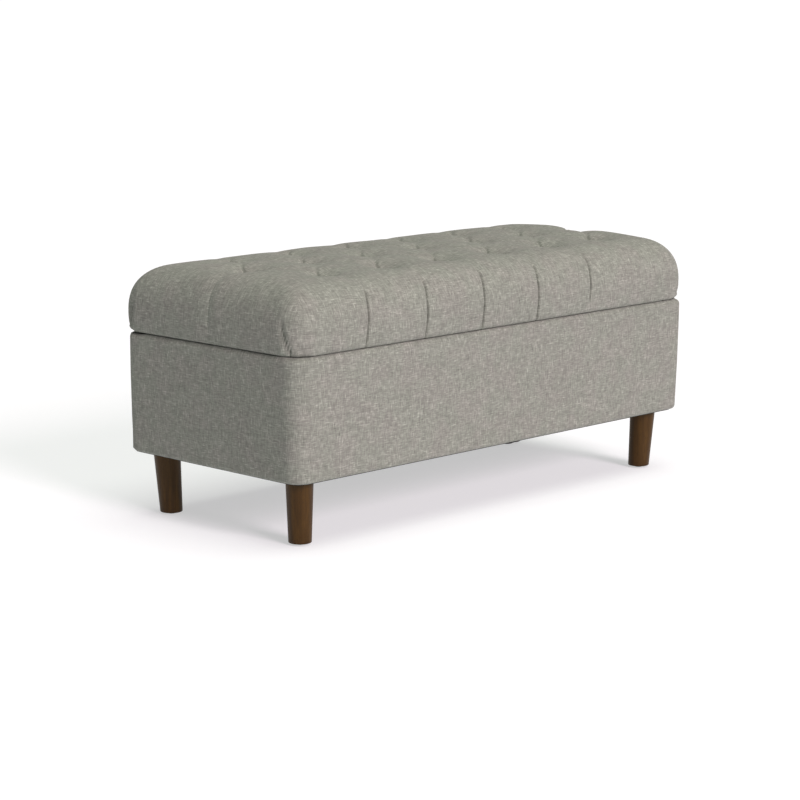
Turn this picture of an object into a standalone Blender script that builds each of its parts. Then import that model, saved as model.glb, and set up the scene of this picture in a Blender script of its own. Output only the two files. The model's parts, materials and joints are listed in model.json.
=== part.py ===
"""Upholstered storage bench: a padded box on four turned legs, closed by a cushion lid.

Frame: origin on the floor under the middle of the bench, +X along its length,
+Y towards the hinged back edge, +Z up. All lengths are metres.
"""
import math

import bmesh
import bpy
from mathutils import Matrix, Vector

# Overall sizes
HALF_LENGTH = 0.508
HALF_DEPTH = 0.2286
SEAT_TOP_Z = 0.4572
FIT_GAP = 0.0003
CUT_PAST = 0.002
LEAST_RADIUS = 0.001

# Heights that the box and the lid are set out from
BODY_BOTTOM_Z = 0.1143
BODY_TOP_Z = 0.3239
LID_BOTTOM_Z = 0.3269
SEAM_Z = (BODY_TOP_Z + LID_BOTTOM_Z) / 2

# Upholstered body
BODY_INSET = 0.0015
BODY_HALF_LENGTH = HALF_LENGTH - BODY_INSET
BODY_HALF_DEPTH = HALF_DEPTH - BODY_INSET
BODY_CORNER_RADIUS = 0.034
BODY_EDGE_RADIUS = 0.009
BODY_FOOT_TAPER = 0.005
BODY_SWELL = ((0.3, 0.45), (0.6, 0.85), (0.85, 1.0))
PADDING = 0.007
FABRIC = 0.0018

# Box carcass
PANEL_T = 0.018
PANEL_BOTTOM_Z = 0.119
PANEL_TOP_Z = BODY_TOP_Z - FABRIC - FIT_GAP
PANEL_HALF_LENGTH = BODY_HALF_LENGTH - PADDING
PANEL_HALF_DEPTH = BODY_HALF_DEPTH - PADDING
POST_RADIUS = BODY_CORNER_RADIUS - PADDING
INNER_HALF_LENGTH = PANEL_HALF_LENGTH - PANEL_T - FIT_GAP
INNER_HALF_DEPTH = PANEL_HALF_DEPTH - PANEL_T - FIT_GAP
BLOCK_SIZE = 0.080
BLOCK_BOTTOM_Z = BODY_BOTTOM_Z
BLOCK_TOP_Z = 0.139
BATTEN_T = 0.022
FLOOR_T = 0.009
LINING_T = 0.0015
LINING_BOTTOM_Z = BLOCK_TOP_Z + FLOOR_T + 2 * FIT_GAP
DUST_COVER_T = 0.001
DUST_COVER_TOP_Z = BODY_BOTTOM_Z - FIT_GAP
DUST_COVER_INSET = 0.012

# Legs, which lean in towards the floor by the same slope along X and Y
LEG_TOP_Z = DUST_COVER_TOP_Z - DUST_COVER_T - FIT_GAP
LEG_TOP_RADIUS = 0.02375
LEG_FOOT_RADIUS = 0.0198
LEG_TOP_INSET = 0.058
LEG_LEAN = 0.041
LEG_EDGE = 0.0012
GLIDE_RADIUS = 0.008
GLIDE_T = 0.003
BOLT_RADIUS = 0.004
BOLT_LENGTH = 0.059
BOLT_IN_LEG = 0.035
BOLT_CLEARANCE = 0.0003
T_NUT_BARREL_RADIUS = 0.0052
T_NUT_FLANGE_RADIUS = 0.009
T_NUT_FLANGE_T = 0.0012
T_NUT_LENGTH = 0.012
DUST_COVER_HOLE_RADIUS = 0.006

# Lid
LID_CORNER_RADIUS = 0.045
LID_EDGE_RADIUS = 0.010
LID_SIDE_TOP_Z = 0.375
LID_CAP_INSET = 0.165
LID_CROWN_POWER = 3.0
LID_BOARD_INSET = 0.0095
LID_BOARD_T = 0.012
LID_BOARD_BOTTOM_Z = 0.3285
LID_TURN_UNDER = 0.035
LID_COVER_T = 0.0032
LINER_T = 0.001

# Butt hinges along the back edge
HINGE_Y = 0.2257
HINGE_XS = (-0.33, 0.33)
HINGE_HALF_LENGTH = 0.030
HINGE_LEAF_T = 0.001
HINGE_LEAF_OFFSET = 0.0002
HINGE_LEAF_WIDTH = 0.0235
KNUCKLE_RADIUS = 0.0028
KNUCKLE_BORE_RADIUS = 0.0015
MIDDLE_KNUCKLE_HALF = 0.0115
KNUCKLE_SIDE_GAP = 0.0004
KNUCKLE_NOTCH_REACH = 0.0034
PIN_RADIUS = 0.0012
PIN_HEAD_RADIUS = 0.0022
PIN_HEAD_T = 0.0008
SCREW_HOLE_RADIUS = 0.002
HINGE_SCREW_XS = (-0.022, 0.0, 0.022)
HINGE_SCREW_Y = -0.014

# Folding lid stays: hinge, base pivot, knee and lid pivot make a parallelogram
STAY_BASE_FORWARD = 0.046
STAY_BASE_DROP = 0.100
STAY_LID_FORWARD = 0.190
STAY_LID_DROP = 0.013
STAY_T = 0.002
STAY_SIDE_GAP = 0.0004
STAY_HALF_WIDTH = 0.007
STAY_STUD_RADIUS = 0.003
STAY_HOLE_RADIUS = 0.0033
STAY_HEAD_RADIUS = 0.005
STAY_HEAD_T = 0.0012
STAY_PLATE_HALF_WIDTH = 0.015
STAY_PLATE_HALF_HEIGHT = 0.022
STAY_PLATE_CORNER = 0.004
STAY_SCREW_INSET = 0.007
STAY_SCREW_SHIFT = 0.003
STAY_FOOT_LENGTH = 0.026
STAY_FOOT_HALF_WIDTH = 0.012
STAY_FLANGE_STEP = 0.0005

# Rubber bumpers on the front of the rim
BUMPER_RADIUS = 0.006
BUMPER_X = 0.46

ROUND_STEPS = 20
CORNER_STEPS = 6

COLLECTION_NAME = "storage_bench"
CUTTER_COLLECTION_NAME = "cutters"
SIDES = (("left", -1), ("right", 1))
ENDS = (("front", -1), ("back", 1))

MATERIALS = {
    "tweed": ((0.36, 0.34, 0.31), 0.95, 0.0),
    "walnut": ((0.12, 0.07, 0.035), 0.45, 0.0),
    "plywood": ((0.50, 0.36, 0.22), 0.75, 0.0),
    "pine": ((0.62, 0.46, 0.27), 0.75, 0.0),
    "foam": ((0.80, 0.74, 0.55), 0.95, 0.0),
    "black_cloth": ((0.02, 0.02, 0.02), 0.95, 0.0),
    "lining_cloth": ((0.06, 0.06, 0.065), 0.95, 0.0),
    "zinc_steel": ((0.62, 0.62, 0.60), 0.35, 1.0),
    "dark_plastic": ((0.03, 0.028, 0.026), 0.5, 0.0),
    "rubber": ((0.04, 0.04, 0.04), 0.8, 0.0),
}


def clear_scene():
    """Remove every object, so the script gives the same model on each run."""
    for obj in list(bpy.data.objects):
        bpy.data.objects.remove(obj)


def new_collection(name):
    """Make a collection under the scene, replacing one left by an earlier run."""
    old = bpy.data.collections.get(name)
    if old:
        bpy.data.collections.remove(old)
    collection = bpy.data.collections.new(name)
    bpy.context.scene.collection.children.link(collection)
    return collection


def get_material(name):
    """Return the named Principled material, made on its first use."""
    found = bpy.data.materials.get(name)
    if found:
        return found
    color, roughness, metallic = MATERIALS[name]
    made = bpy.data.materials.new(name)
    made.use_nodes = True
    shader = made.node_tree.nodes["Principled BSDF"]
    shader.inputs["Base Color"].default_value = (*color, 1.0)
    shader.inputs["Roughness"].default_value = roughness
    shader.inputs["Metallic"].default_value = metallic
    return made


def add_object(name, data, material, location=(0, 0, 0)):
    """Link new object data into the bench's collection with its material."""
    obj = bpy.data.objects.new(name, data)
    obj.location = location
    data.materials.append(get_material(material))
    bpy.data.collections[COLLECTION_NAME].objects.link(obj)
    return obj


def make_cutter(obj):
    """Turn an object into a hidden wire cutter in the cutters' collection."""
    bpy.data.collections[COLLECTION_NAME].objects.unlink(obj)
    bpy.data.collections[CUTTER_COLLECTION_NAME].objects.link(obj)
    obj.hide_render = True
    obj.display_type = "WIRE"
    return obj


def cut_with(obj, cutter):
    """Subtract a cutter from an object with a live exact Boolean."""
    modifier = obj.modifiers.new("cut_" + cutter.name, "BOOLEAN")
    modifier.operation = "DIFFERENCE"
    modifier.solver = "EXACT"
    modifier.object = cutter


def weld_with(obj, piece):
    """Join a hidden piece onto an object with a live exact Boolean."""
    modifier = obj.modifiers.new("weld_" + piece.name, "BOOLEAN")
    modifier.operation = "UNION"
    modifier.solver = "EXACT"
    modifier.object = piece


def pivot_empty(name, location):
    """Empty on a joint's axis, which the pieces that turn about it hang from."""
    empty = bpy.data.objects.new(name, None)
    empty.location = location
    empty.empty_display_size = 0.02
    bpy.data.collections[COLLECTION_NAME].objects.link(empty)
    return empty


def hang_from(obj, empty):
    """Parent an object to a pivot empty without moving it."""
    obj.parent = empty
    obj.matrix_parent_inverse = Matrix.Translation(-Vector(empty.location))


def box(name, low, high, material):
    """Block between two opposite corners, with its origin at its centre."""
    size = Vector(high) - Vector(low)
    centre = (Vector(high) + Vector(low)) / 2
    mesh = bpy.data.meshes.new(name)
    shape = bmesh.new()
    bmesh.ops.create_cube(shape, size=1.0, matrix=Matrix.Diagonal((*size, 1.0)))
    shape.to_mesh(mesh)
    shape.free()
    return add_object(name, mesh, material, centre)


def flat_outline(name, outlines, thickness, material, location):
    """Plate in the XY plane: the first outline is its edge and the others are holes."""
    curve = bpy.data.curves.new(name, "CURVE")
    curve.dimensions = "2D"
    curve.fill_mode = "BOTH"
    curve.extrude = thickness / 2
    for outline in outlines:
        spline = curve.splines.new("POLY")
        spline.points.add(len(outline) - 1)
        for point, (x, y) in zip(spline.points, outline):
            point.co = (x, y, 0.0, 1.0)
        spline.use_cyclic_u = True
    return add_object(name, curve, material, location)


def side_outline(name, outlines, thickness, material, location):
    """Plate whose outlines are drawn in the YZ plane, with its thickness along X."""
    obj = flat_outline(name, outlines, thickness, material, location)
    obj.rotation_euler = (math.pi / 2, 0.0, math.pi / 2)
    return obj


def as_mesh(obj):
    """Replace a curve object by a mesh object in the same place, with its caps welded."""
    bpy.context.view_layer.update()
    name = obj.name
    matrix = obj.matrix_world.copy()
    evaluated = obj.evaluated_get(bpy.context.evaluated_depsgraph_get())
    mesh = bpy.data.meshes.new_from_object(evaluated)
    shape = bmesh.new()
    shape.from_mesh(mesh)
    bmesh.ops.remove_doubles(shape, verts=shape.verts, dist=0.00001)
    bmesh.ops.recalc_face_normals(shape, faces=shape.faces)
    shape.to_mesh(mesh)
    shape.free()
    bpy.data.objects.remove(obj)
    solid = bpy.data.objects.new(name, mesh)
    solid.matrix_world = matrix
    bpy.data.collections[COLLECTION_NAME].objects.link(solid)
    return solid


def turned(name, profile, material, location, closed=False, lean=(0.0, 0.0)):
    """Solid of revolution about Z, from (radius, height) points that run down its outer side.

    The solid is sheared by lean, so its round faces stay level while its axis slopes.
    """
    mesh = bpy.data.meshes.new(name)
    edges = [(i, i + 1) for i in range(len(profile) - 1)]
    if closed:
        edges.append((len(profile) - 1, 0))
    mesh.from_pydata([(radius, 0.0, height) for radius, height in profile], edges, [])
    obj = add_object(name, mesh, material, location)
    screw = obj.modifiers.new("turn", "SCREW")
    screw.steps = ROUND_STEPS
    screw.render_steps = ROUND_STEPS
    screw.use_merge_vertices = True
    screw.merge_threshold = 0.00001
    obj = as_mesh(obj)
    shear = Matrix.Identity(4)
    shear[0][2], shear[1][2] = lean
    obj.data.transform(shear)
    obj.data.shade_smooth()
    obj.data.set_sharp_from_angle(angle=math.radians(35))
    return obj


def disc(name, radius, low, high, material, location):
    """Upright round disc or pin between two heights above its location."""
    mesh = bpy.data.meshes.new(name)
    shape = bmesh.new()
    bmesh.ops.create_cone(
        shape, cap_ends=True, segments=ROUND_STEPS, radius1=radius, radius2=radius, depth=high - low,
        matrix=Matrix.Translation((0.0, 0.0, (low + high) / 2)))
    shape.to_mesh(mesh)
    shape.free()
    return add_object(name, mesh, material, location)


def arc(centre, radius, start_deg, end_deg, steps):
    """Points along an arc of a circle in a plane, both ends included."""
    points = []
    for i in range(steps + 1):
        angle = math.radians(start_deg + (end_deg - start_deg) * i / steps)
        points.append((centre[0] + radius * math.cos(angle), centre[1] + radius * math.sin(angle)))
    return points


def circle(centre, radius):
    """Points of a full circle in a plane."""
    return arc(centre, radius, 0, 360, ROUND_STEPS)[:-1]


def capsule(start, end, radius):
    """Outline of a straight bar with round ends about two points."""
    along = math.degrees(math.atan2(end[1] - start[1], end[0] - start[0]))
    half = ROUND_STEPS // 2
    return arc(end, radius, along - 90, along + 90, half) + arc(start, radius, along + 90, along + 270, half)


def round_rectangle(half_x, half_y, radius):
    """Outline of a rectangle with round corners, anticlockwise about the origin."""
    points = []
    for turn, (sx, sy) in enumerate(((1, 1), (-1, 1), (-1, -1), (1, -1))):
        centre = (sx * (half_x - radius), sy * (half_y - radius))
        points += arc(centre, radius, 90 * turn, 90 * turn + 90, CORNER_STEPS)
    return points


def loft(name, rings, material, closed):
    """Solid through level rings, closed into a hoop or capped at its first and last ring."""
    mesh = bpy.data.meshes.new(name)
    shape = bmesh.new()
    loops = [[shape.verts.new(point) for point in ring] for ring in rings]
    pairs = list(zip(loops[:-1], loops[1:]))
    if closed:
        pairs.append((loops[-1], loops[0]))
    else:
        shape.faces.new(loops[0])
        shape.faces.new(loops[-1])
    for lower, upper in pairs:
        for i in range(len(lower)):
            j = (i + 1) % len(lower)
            shape.faces.new((lower[i], lower[j], upper[j], upper[i]))
    bmesh.ops.recalc_face_normals(shape, faces=shape.faces)
    shape.to_mesh(mesh)
    shape.free()
    mesh.shade_smooth()
    mesh.set_sharp_from_angle(angle=math.radians(35))
    return add_object(name, mesh, material)


def level_ring(half_x, half_y, inset, radius, z):
    """Round rectangle drawn in by an inset at a height."""
    outline = round_rectangle(half_x - inset, half_y - inset, max(radius, LEAST_RADIUS))
    return [(x, y, z) for x, y in outline]


def corner_name(side, end, piece):
    """Name of a piece that each corner has, such as front_left_leg."""
    return end + "_" + side + "_" + piece


# Carcass ---------------------------------------------------------------------------------------

def make_panels():
    """Front, back and end boards, butted against the corner posts."""
    post = POST_RADIUS + FIT_GAP
    long_reach = PANEL_HALF_LENGTH - post
    for end, sy in ENDS:
        faces = sorted((sy * PANEL_HALF_DEPTH, sy * (PANEL_HALF_DEPTH - PANEL_T)))
        box(end + "_panel", (-long_reach, faces[0], PANEL_BOTTOM_Z),
            (long_reach, faces[1], PANEL_TOP_Z), "plywood")
    short_reach = PANEL_HALF_DEPTH - post
    for side, sx in SIDES:
        faces = sorted((sx * PANEL_HALF_LENGTH, sx * (PANEL_HALF_LENGTH - PANEL_T)))
        box(side + "_end_panel", (faces[0], -short_reach, PANEL_BOTTOM_Z),
            (faces[1], short_reach, PANEL_TOP_Z), "plywood")


def make_corner_posts():
    """Round-cornered posts that the panels butt against and the cover goes round."""
    centre = PANEL_T - POST_RADIUS
    rounded = arc((centre, centre), POST_RADIUS, 0, 90, CORNER_STEPS)
    section = [(0.0, 0.0), (0.0, centre)] + rounded + [(centre, 0.0)]
    for side, sx in SIDES:
        for end, sy in ENDS:
            outline = [(sx * x, sy * y) for x, y in section]
            foot = (sx * (PANEL_HALF_LENGTH - PANEL_T), sy * (PANEL_HALF_DEPTH - PANEL_T),
                    (PANEL_BOTTOM_Z + PANEL_TOP_Z) / 2)
            flat_outline(corner_name(side, end, "corner_post"), [outline], PANEL_TOP_Z - PANEL_BOTTOM_Z,
                         "pine", foot)


def make_battens():
    """Battens between the leg blocks, and one across the middle, which carry the floor."""
    reach = INNER_HALF_LENGTH - BLOCK_SIZE - FIT_GAP
    for end, sy in ENDS:
        faces = sorted((sy * INNER_HALF_DEPTH, sy * (INNER_HALF_DEPTH - BATTEN_T)))
        box(end + "_batten", (-reach, faces[0], BLOCK_BOTTOM_Z), (reach, faces[1], BLOCK_TOP_Z), "pine")
    span = INNER_HALF_DEPTH - BATTEN_T - FIT_GAP
    box("middle_batten", (-BATTEN_T / 2, -span, BLOCK_BOTTOM_Z), (BATTEN_T / 2, span, BLOCK_TOP_Z), "pine")


def make_floor_panel():
    """Thin board that the stored things stand on."""
    low_z = BLOCK_TOP_Z + FIT_GAP
    box("floor_panel", (-INNER_HALF_LENGTH, -INNER_HALF_DEPTH, low_z),
        (INNER_HALF_LENGTH, INNER_HALF_DEPTH, low_z + FLOOR_T), "plywood")


def make_storage_lining():
    """Open cloth tray against the panels and the floor."""
    low = (-INNER_HALF_LENGTH, -INNER_HALF_DEPTH, LINING_BOTTOM_Z)
    lining = box("storage_lining", low, (INNER_HALF_LENGTH, INNER_HALF_DEPTH, PANEL_TOP_Z), "lining_cloth")
    shape = bmesh.new()
    shape.from_mesh(lining.data)
    top = [face for face in shape.faces if face.normal.z > 0.5]
    bmesh.ops.delete(shape, geom=top, context="FACES_ONLY")
    shape.to_mesh(lining.data)
    shape.free()
    wall = lining.modifiers.new("wall", "SOLIDIFY")
    wall.thickness = LINING_T
    wall.offset = -1.0
    wall.use_even_offset = True


# Legs ------------------------------------------------------------------------------------------

def leg_place(sx, sy):
    """Centre of a leg's top face, and the slope of its axis."""
    centre = (sx * (HALF_LENGTH - LEG_TOP_INSET), sy * (HALF_DEPTH - LEG_TOP_INSET), LEG_TOP_Z)
    return centre, (sx * LEG_LEAN, sy * LEG_LEAN)


def make_leg(name, place, lean):
    """Turned tapered leg with a blind hole for its bolt in the top face."""
    hole = BOLT_RADIUS + BOLT_CLEARANCE
    hole_bottom = -BOLT_IN_LEG - 2 * FIT_GAP
    foot = GLIDE_T + FIT_GAP - LEG_TOP_Z
    profile = [
        (0.0, hole_bottom),
        (hole, hole_bottom),
        (hole, 0.0),
        (LEG_TOP_RADIUS - LEG_EDGE, 0.0),
        (LEG_TOP_RADIUS, -LEG_EDGE),
        (LEG_FOOT_RADIUS, foot + LEG_EDGE),
        (LEG_FOOT_RADIUS - LEG_EDGE, foot),
        (0.0, foot),
    ]
    turned(name, profile, "walnut", place, lean=lean)


def make_glide(name, place, lean):
    """Small round glide under the foot, resting on the floor."""
    foot_centre = (place[0] - lean[0] * LEG_TOP_Z, place[1] - lean[1] * LEG_TOP_Z, 0.0)
    profile = [
        (0.0, GLIDE_T),
        (GLIDE_RADIUS, GLIDE_T),
        (GLIDE_RADIUS, GLIDE_T / 3),
        (GLIDE_RADIUS - GLIDE_T / 3, 0.0),
        (0.0, 0.0),
    ]
    turned(name, profile, "dark_plastic", foot_centre)


def make_bolt(name, place, lean):
    """Hanger bolt from the leg, through the block, into the T-nut."""
    profile = [
        (0.0, BOLT_LENGTH - BOLT_IN_LEG),
        (BOLT_RADIUS, BOLT_LENGTH - BOLT_IN_LEG),
        (BOLT_RADIUS, -BOLT_IN_LEG),
        (0.0, -BOLT_IN_LEG),
    ]
    turned(name, profile, "zinc_steel", place, lean=lean)


def make_t_nut(name, place, lean):
    """T-nut let into the top of the leg block."""
    top = BLOCK_TOP_Z - FIT_GAP - LEG_TOP_Z
    bore = BOLT_RADIUS + BOLT_CLEARANCE
    profile = [
        (bore, top),
        (T_NUT_FLANGE_RADIUS, top),
        (T_NUT_FLANGE_RADIUS, top - T_NUT_FLANGE_T),
        (T_NUT_BARREL_RADIUS, top - T_NUT_FLANGE_T),
        (T_NUT_BARREL_RADIUS, top - T_NUT_LENGTH),
        (bore, top - T_NUT_LENGTH),
    ]
    turned(name, profile, "zinc_steel", place, closed=True, lean=lean)


def make_leg_block(name, place, lean, sx, sy):
    """Hardwood block in a bottom corner, bored for the bolt and counterbored for the T-nut."""
    xs = sorted((sx * INNER_HALF_LENGTH, sx * (INNER_HALF_LENGTH - BLOCK_SIZE)))
    ys = sorted((sy * INNER_HALF_DEPTH, sy * (INNER_HALF_DEPTH - BLOCK_SIZE)))
    block = box(name, (xs[0], ys[0], BLOCK_BOTTOM_Z), (xs[1], ys[1], BLOCK_TOP_Z), "pine")
    top = BLOCK_TOP_Z - LEG_TOP_Z
    recess = top - FIT_GAP - T_NUT_FLANGE_T - FIT_GAP
    hole = T_NUT_BARREL_RADIUS + FIT_GAP
    profile = [
        (0.0, top + CUT_PAST),
        (T_NUT_FLANGE_RADIUS + FIT_GAP, top + CUT_PAST),
        (T_NUT_FLANGE_RADIUS + FIT_GAP, recess),
        (hole, recess),
        (hole, -CUT_PAST),
        (0.0, -CUT_PAST),
    ]
    cut_with(block, make_cutter(turned(name + "_bore", profile, "pine", place, lean=lean)))


def make_legs():
    """Four legs with their glides, bolts, T-nuts and blocks."""
    for side, sx in SIDES:
        for end, sy in ENDS:
            place, lean = leg_place(sx, sy)
            make_leg(corner_name(side, end, "leg"), place, lean)
            make_glide(corner_name(side, end, "leg_glide"), place, lean)
            make_bolt(corner_name(side, end, "hanger_bolt"), place, lean)
            make_t_nut(corner_name(side, end, "t_nut"), place, lean)
            make_leg_block(corner_name(side, end, "leg_block"), place, lean, sx, sy)


def make_dust_cover():
    """Black cloth under the box, with a hole where each leg's bolt goes through."""
    half_x = BODY_HALF_LENGTH - DUST_COVER_INSET
    half_y = BODY_HALF_DEPTH - DUST_COVER_INSET
    outlines = [round_rectangle(half_x, half_y, BODY_CORNER_RADIUS - DUST_COVER_INSET)]
    for side, sx in SIDES:
        for end, sy in ENDS:
            centre = leg_place(sx, sy)[0]
            outlines.append(circle(centre[:2], DUST_COVER_HOLE_RADIUS))
    flat_outline("dust_cover", outlines, DUST_COVER_T, "black_cloth",
                 (0.0, 0.0, DUST_COVER_TOP_Z - DUST_COVER_T / 2))


# Upholstery ------------------------------------------------------------------------------------

def body_ring(inset, z):
    """Level ring of the box's cover: concentric corners outside, and square ones at its hems."""
    radius = BODY_CORNER_RADIUS - inset if inset < PANEL_T else LEAST_RADIUS
    return level_ring(BODY_HALF_LENGTH, BODY_HALF_DEPTH, inset, radius, z)


def make_body_cover():
    """Padded cover round the box, turned in over the rim and under the bottom edge."""
    radius = BODY_EDGE_RADIUS
    foot_centre = (BODY_FOOT_TAPER + radius, BODY_BOTTOM_Z + radius)
    rim_centre = (radius, BODY_TOP_Z - radius)
    bottom_reach = BODY_HALF_LENGTH - INNER_HALF_LENGTH - 2 * FIT_GAP
    rim_reach = BODY_HALF_LENGTH - INNER_HALF_LENGTH + LINING_T
    back = PADDING - FIT_GAP
    height = rim_centre[1] - foot_centre[1]
    profile = [(bottom_reach, BODY_BOTTOM_Z)]
    profile += arc(foot_centre, radius, 270, 180, 4)
    for share, swell in BODY_SWELL:
        profile.append((BODY_FOOT_TAPER * (1.0 - swell), foot_centre[1] + share * height))
    profile += arc(rim_centre, radius, 180, 90, 4)
    profile += [
        (rim_reach, BODY_TOP_Z),
        (rim_reach, BODY_TOP_Z - FABRIC),
        (back, BODY_TOP_Z - FABRIC),
        (back, PANEL_BOTTOM_Z - FIT_GAP),
        (bottom_reach, PANEL_BOTTOM_Z - FIT_GAP),
    ]
    loft("body_cover", [body_ring(inset, z) for inset, z in profile], "tweed", closed=True)


def crown_rings(depth):
    """Rings of the cushion's crown, top first, for a surface that lies a depth inside the cover.

    The section is a superellipse from the upright side to the middle of the seat:
    across = 1 - cos(t) ** (2 / p) of the half depth, and height = sin(t) ** (2 / p) of the crown.
    """
    power = 2.0 / LID_CROWN_POWER
    t_cap = math.acos((1.0 - LID_CAP_INSET / HALF_DEPTH) ** (1.0 / power))
    rise = (SEAT_TOP_Z - depth - LID_SIDE_TOP_Z) / math.sin(t_cap) ** power
    steps = 8
    rings = []
    for i in range(steps, -1, -1):
        t = t_cap * i / steps
        inset = depth + (HALF_DEPTH - depth) * (1.0 - math.cos(t) ** power)
        z = LID_SIDE_TOP_Z + rise * math.sin(t) ** power
        rings.append(level_ring(HALF_LENGTH, HALF_DEPTH, inset, LID_CORNER_RADIUS - depth, z))
    return rings


def lid_ring(inset, z):
    """Level ring of the lid below its crown, with corners concentric with the outside."""
    return level_ring(HALF_LENGTH, HALF_DEPTH, inset, LID_CORNER_RADIUS - inset, z)


def make_lid_cover(pivot):
    """Fabric and wadding over the cushion, turned under the lid board all round."""
    radius = LID_EDGE_RADIUS
    fabric_top = LID_BOARD_BOTTOM_Z - FIT_GAP
    board_side = LID_BOARD_INSET - FIT_GAP
    ledge = LID_BOARD_BOTTOM_Z + LID_BOARD_T
    rings = crown_rings(0.0)
    rings += [lid_ring(inset, z) for inset, z in arc((radius, LID_BOTTOM_Z + radius), radius, 180, 270, 4)]
    rings += [
        lid_ring(LID_TURN_UNDER, LID_BOTTOM_Z),
        lid_ring(LID_TURN_UNDER, fabric_top),
        lid_ring(board_side, fabric_top),
        lid_ring(board_side, ledge),
        lid_ring(LID_COVER_T, ledge),
    ]
    rings += list(reversed(crown_rings(LID_COVER_T)))
    hang_from(loft("lid_cover", rings, "tweed", closed=False), pivot)


def make_lid_foam(pivot):
    """Crowned foam block that stands on the lid board."""
    depth = LID_COVER_T + FIT_GAP
    bottom = LID_BOARD_BOTTOM_Z + LID_BOARD_T + FIT_GAP
    rings = crown_rings(depth)
    rings.append(lid_ring(depth, bottom))
    hang_from(loft("lid_foam", rings, "foam", closed=False), pivot)


def make_lid_board(pivot):
    """Plywood board that the cushion and the hinges are fixed to."""
    outline = round_rectangle(HALF_LENGTH - LID_BOARD_INSET, HALF_DEPTH - LID_BOARD_INSET,
                              LID_CORNER_RADIUS - LID_BOARD_INSET)
    board = flat_outline("lid_board", [outline], LID_BOARD_T, "plywood",
                         (0.0, 0.0, LID_BOARD_BOTTOM_Z + LID_BOARD_T / 2))
    hang_from(board, pivot)


def make_lid_liner(pivot):
    """Cloth over the middle of the board's underside, inside the turned-under cover."""
    inset = LID_TURN_UNDER + FIT_GAP
    outline = round_rectangle(HALF_LENGTH - inset, HALF_DEPTH - inset, LID_CORNER_RADIUS - inset)
    top = LID_BOARD_BOTTOM_Z - FIT_GAP
    liner = flat_outline("lid_liner", [outline], LINER_T, "lining_cloth", (0.0, 0.0, top - LINER_T / 2))
    hang_from(liner, pivot)


# Hinges ----------------------------------------------------------------------------------------

def leaf_outline(up):
    """Section of a hinge leaf: a flat plate that runs into the knuckle's round wall."""
    near = up * HINGE_LEAF_OFFSET
    far = up * (HINGE_LEAF_OFFSET + HINGE_LEAF_T)
    near_angle = math.degrees(math.asin(HINGE_LEAF_OFFSET / KNUCKLE_RADIUS))
    far_angle = math.degrees(math.asin((HINGE_LEAF_OFFSET + HINGE_LEAF_T) / KNUCKLE_RADIUS))
    start = 180 - up * far_angle
    end = 180 - up * near_angle - up * 360
    wall = arc((0.0, 0.0), KNUCKLE_RADIUS, start, end, ROUND_STEPS)
    return [(-HINGE_LEAF_WIDTH, far)] + wall + [(-HINGE_LEAF_WIDTH, near)]


def make_leaf(name, x, up, own_middle):
    """Hinge leaf, with its barrel cut away where the other leaf's knuckles turn."""
    outlines = [leaf_outline(up), circle((0.0, 0.0), KNUCKLE_BORE_RADIUS)]
    leaf = as_mesh(side_outline(name, outlines, 2 * HINGE_HALF_LENGTH, "zinc_steel", (x, HINGE_Y, SEAM_Z)))
    middle = MIDDLE_KNUCKLE_HALF
    end = HINGE_HALF_LENGTH + CUT_PAST
    if own_middle:
        spans = ((-end, -middle), (middle, end))
    else:
        spans = ((-middle - KNUCKLE_SIDE_GAP, middle + KNUCKLE_SIDE_GAP),)
    reach = KNUCKLE_NOTCH_REACH
    for number, (low, high) in enumerate(spans):
        notch = box(name + "_notch_" + str(number), (x + low, HINGE_Y - reach, SEAM_Z - reach),
                    (x + high, HINGE_Y + reach, SEAM_Z + reach), "zinc_steel")
        cut_with(leaf, make_cutter(notch))
    for number, offset in enumerate(HINGE_SCREW_XS):
        hole = disc(name + "_screw_hole_" + str(number), SCREW_HOLE_RADIUS, -reach, reach, "zinc_steel",
                    (x + offset, HINGE_Y + HINGE_SCREW_Y, SEAM_Z))
        cut_with(leaf, make_cutter(hole))
    return leaf


def make_hinge_pin(name, x):
    """Pin through the knuckles, with a flat head at each end."""
    shaft_end = HINGE_HALF_LENGTH + FIT_GAP
    head_end = shaft_end + PIN_HEAD_T
    profile = [
        (0.0, head_end),
        (PIN_HEAD_RADIUS, head_end),
        (PIN_HEAD_RADIUS, shaft_end),
        (PIN_RADIUS, shaft_end),
        (PIN_RADIUS, -shaft_end),
        (PIN_HEAD_RADIUS, -shaft_end),
        (PIN_HEAD_RADIUS, -head_end),
        (0.0, -head_end),
    ]
    pin = turned(name, profile, "zinc_steel", (x, HINGE_Y, SEAM_Z))
    pin.rotation_euler = (0.0, math.pi / 2, 0.0)


def make_hinges(pivot):
    """Two butt hinges at the back of the seam."""
    for (side, sx), x in zip(SIDES, HINGE_XS):
        make_leaf(side + "_hinge_base_leaf", x, -1, own_middle=False)
        make_hinge_pin(side + "_hinge_pin", x)
        hang_from(make_leaf(side + "_hinge_lid_leaf", x, 1, own_middle=True), pivot)


# Lid stays -------------------------------------------------------------------------------------

def stay_points():
    """Base pivot, lid pivot and knee in the YZ plane with the lid shut."""
    base = Vector((HINGE_Y - STAY_BASE_FORWARD, SEAM_Z - STAY_BASE_DROP))
    lid = Vector((HINGE_Y - STAY_LID_FORWARD, SEAM_Z - STAY_LID_DROP))
    knee = base + lid - Vector((HINGE_Y, SEAM_Z))
    return base, lid, knee


def stay_planes():
    """Middle of each layer of a stay along X, from the lining towards the middle of the box."""
    plate = INNER_HALF_LENGTH - LINING_T - FIT_GAP - STAY_T / 2
    step = STAY_T + STAY_SIDE_GAP
    return plate, plate - step, plate - 2 * step, plate - 3 * step


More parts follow.
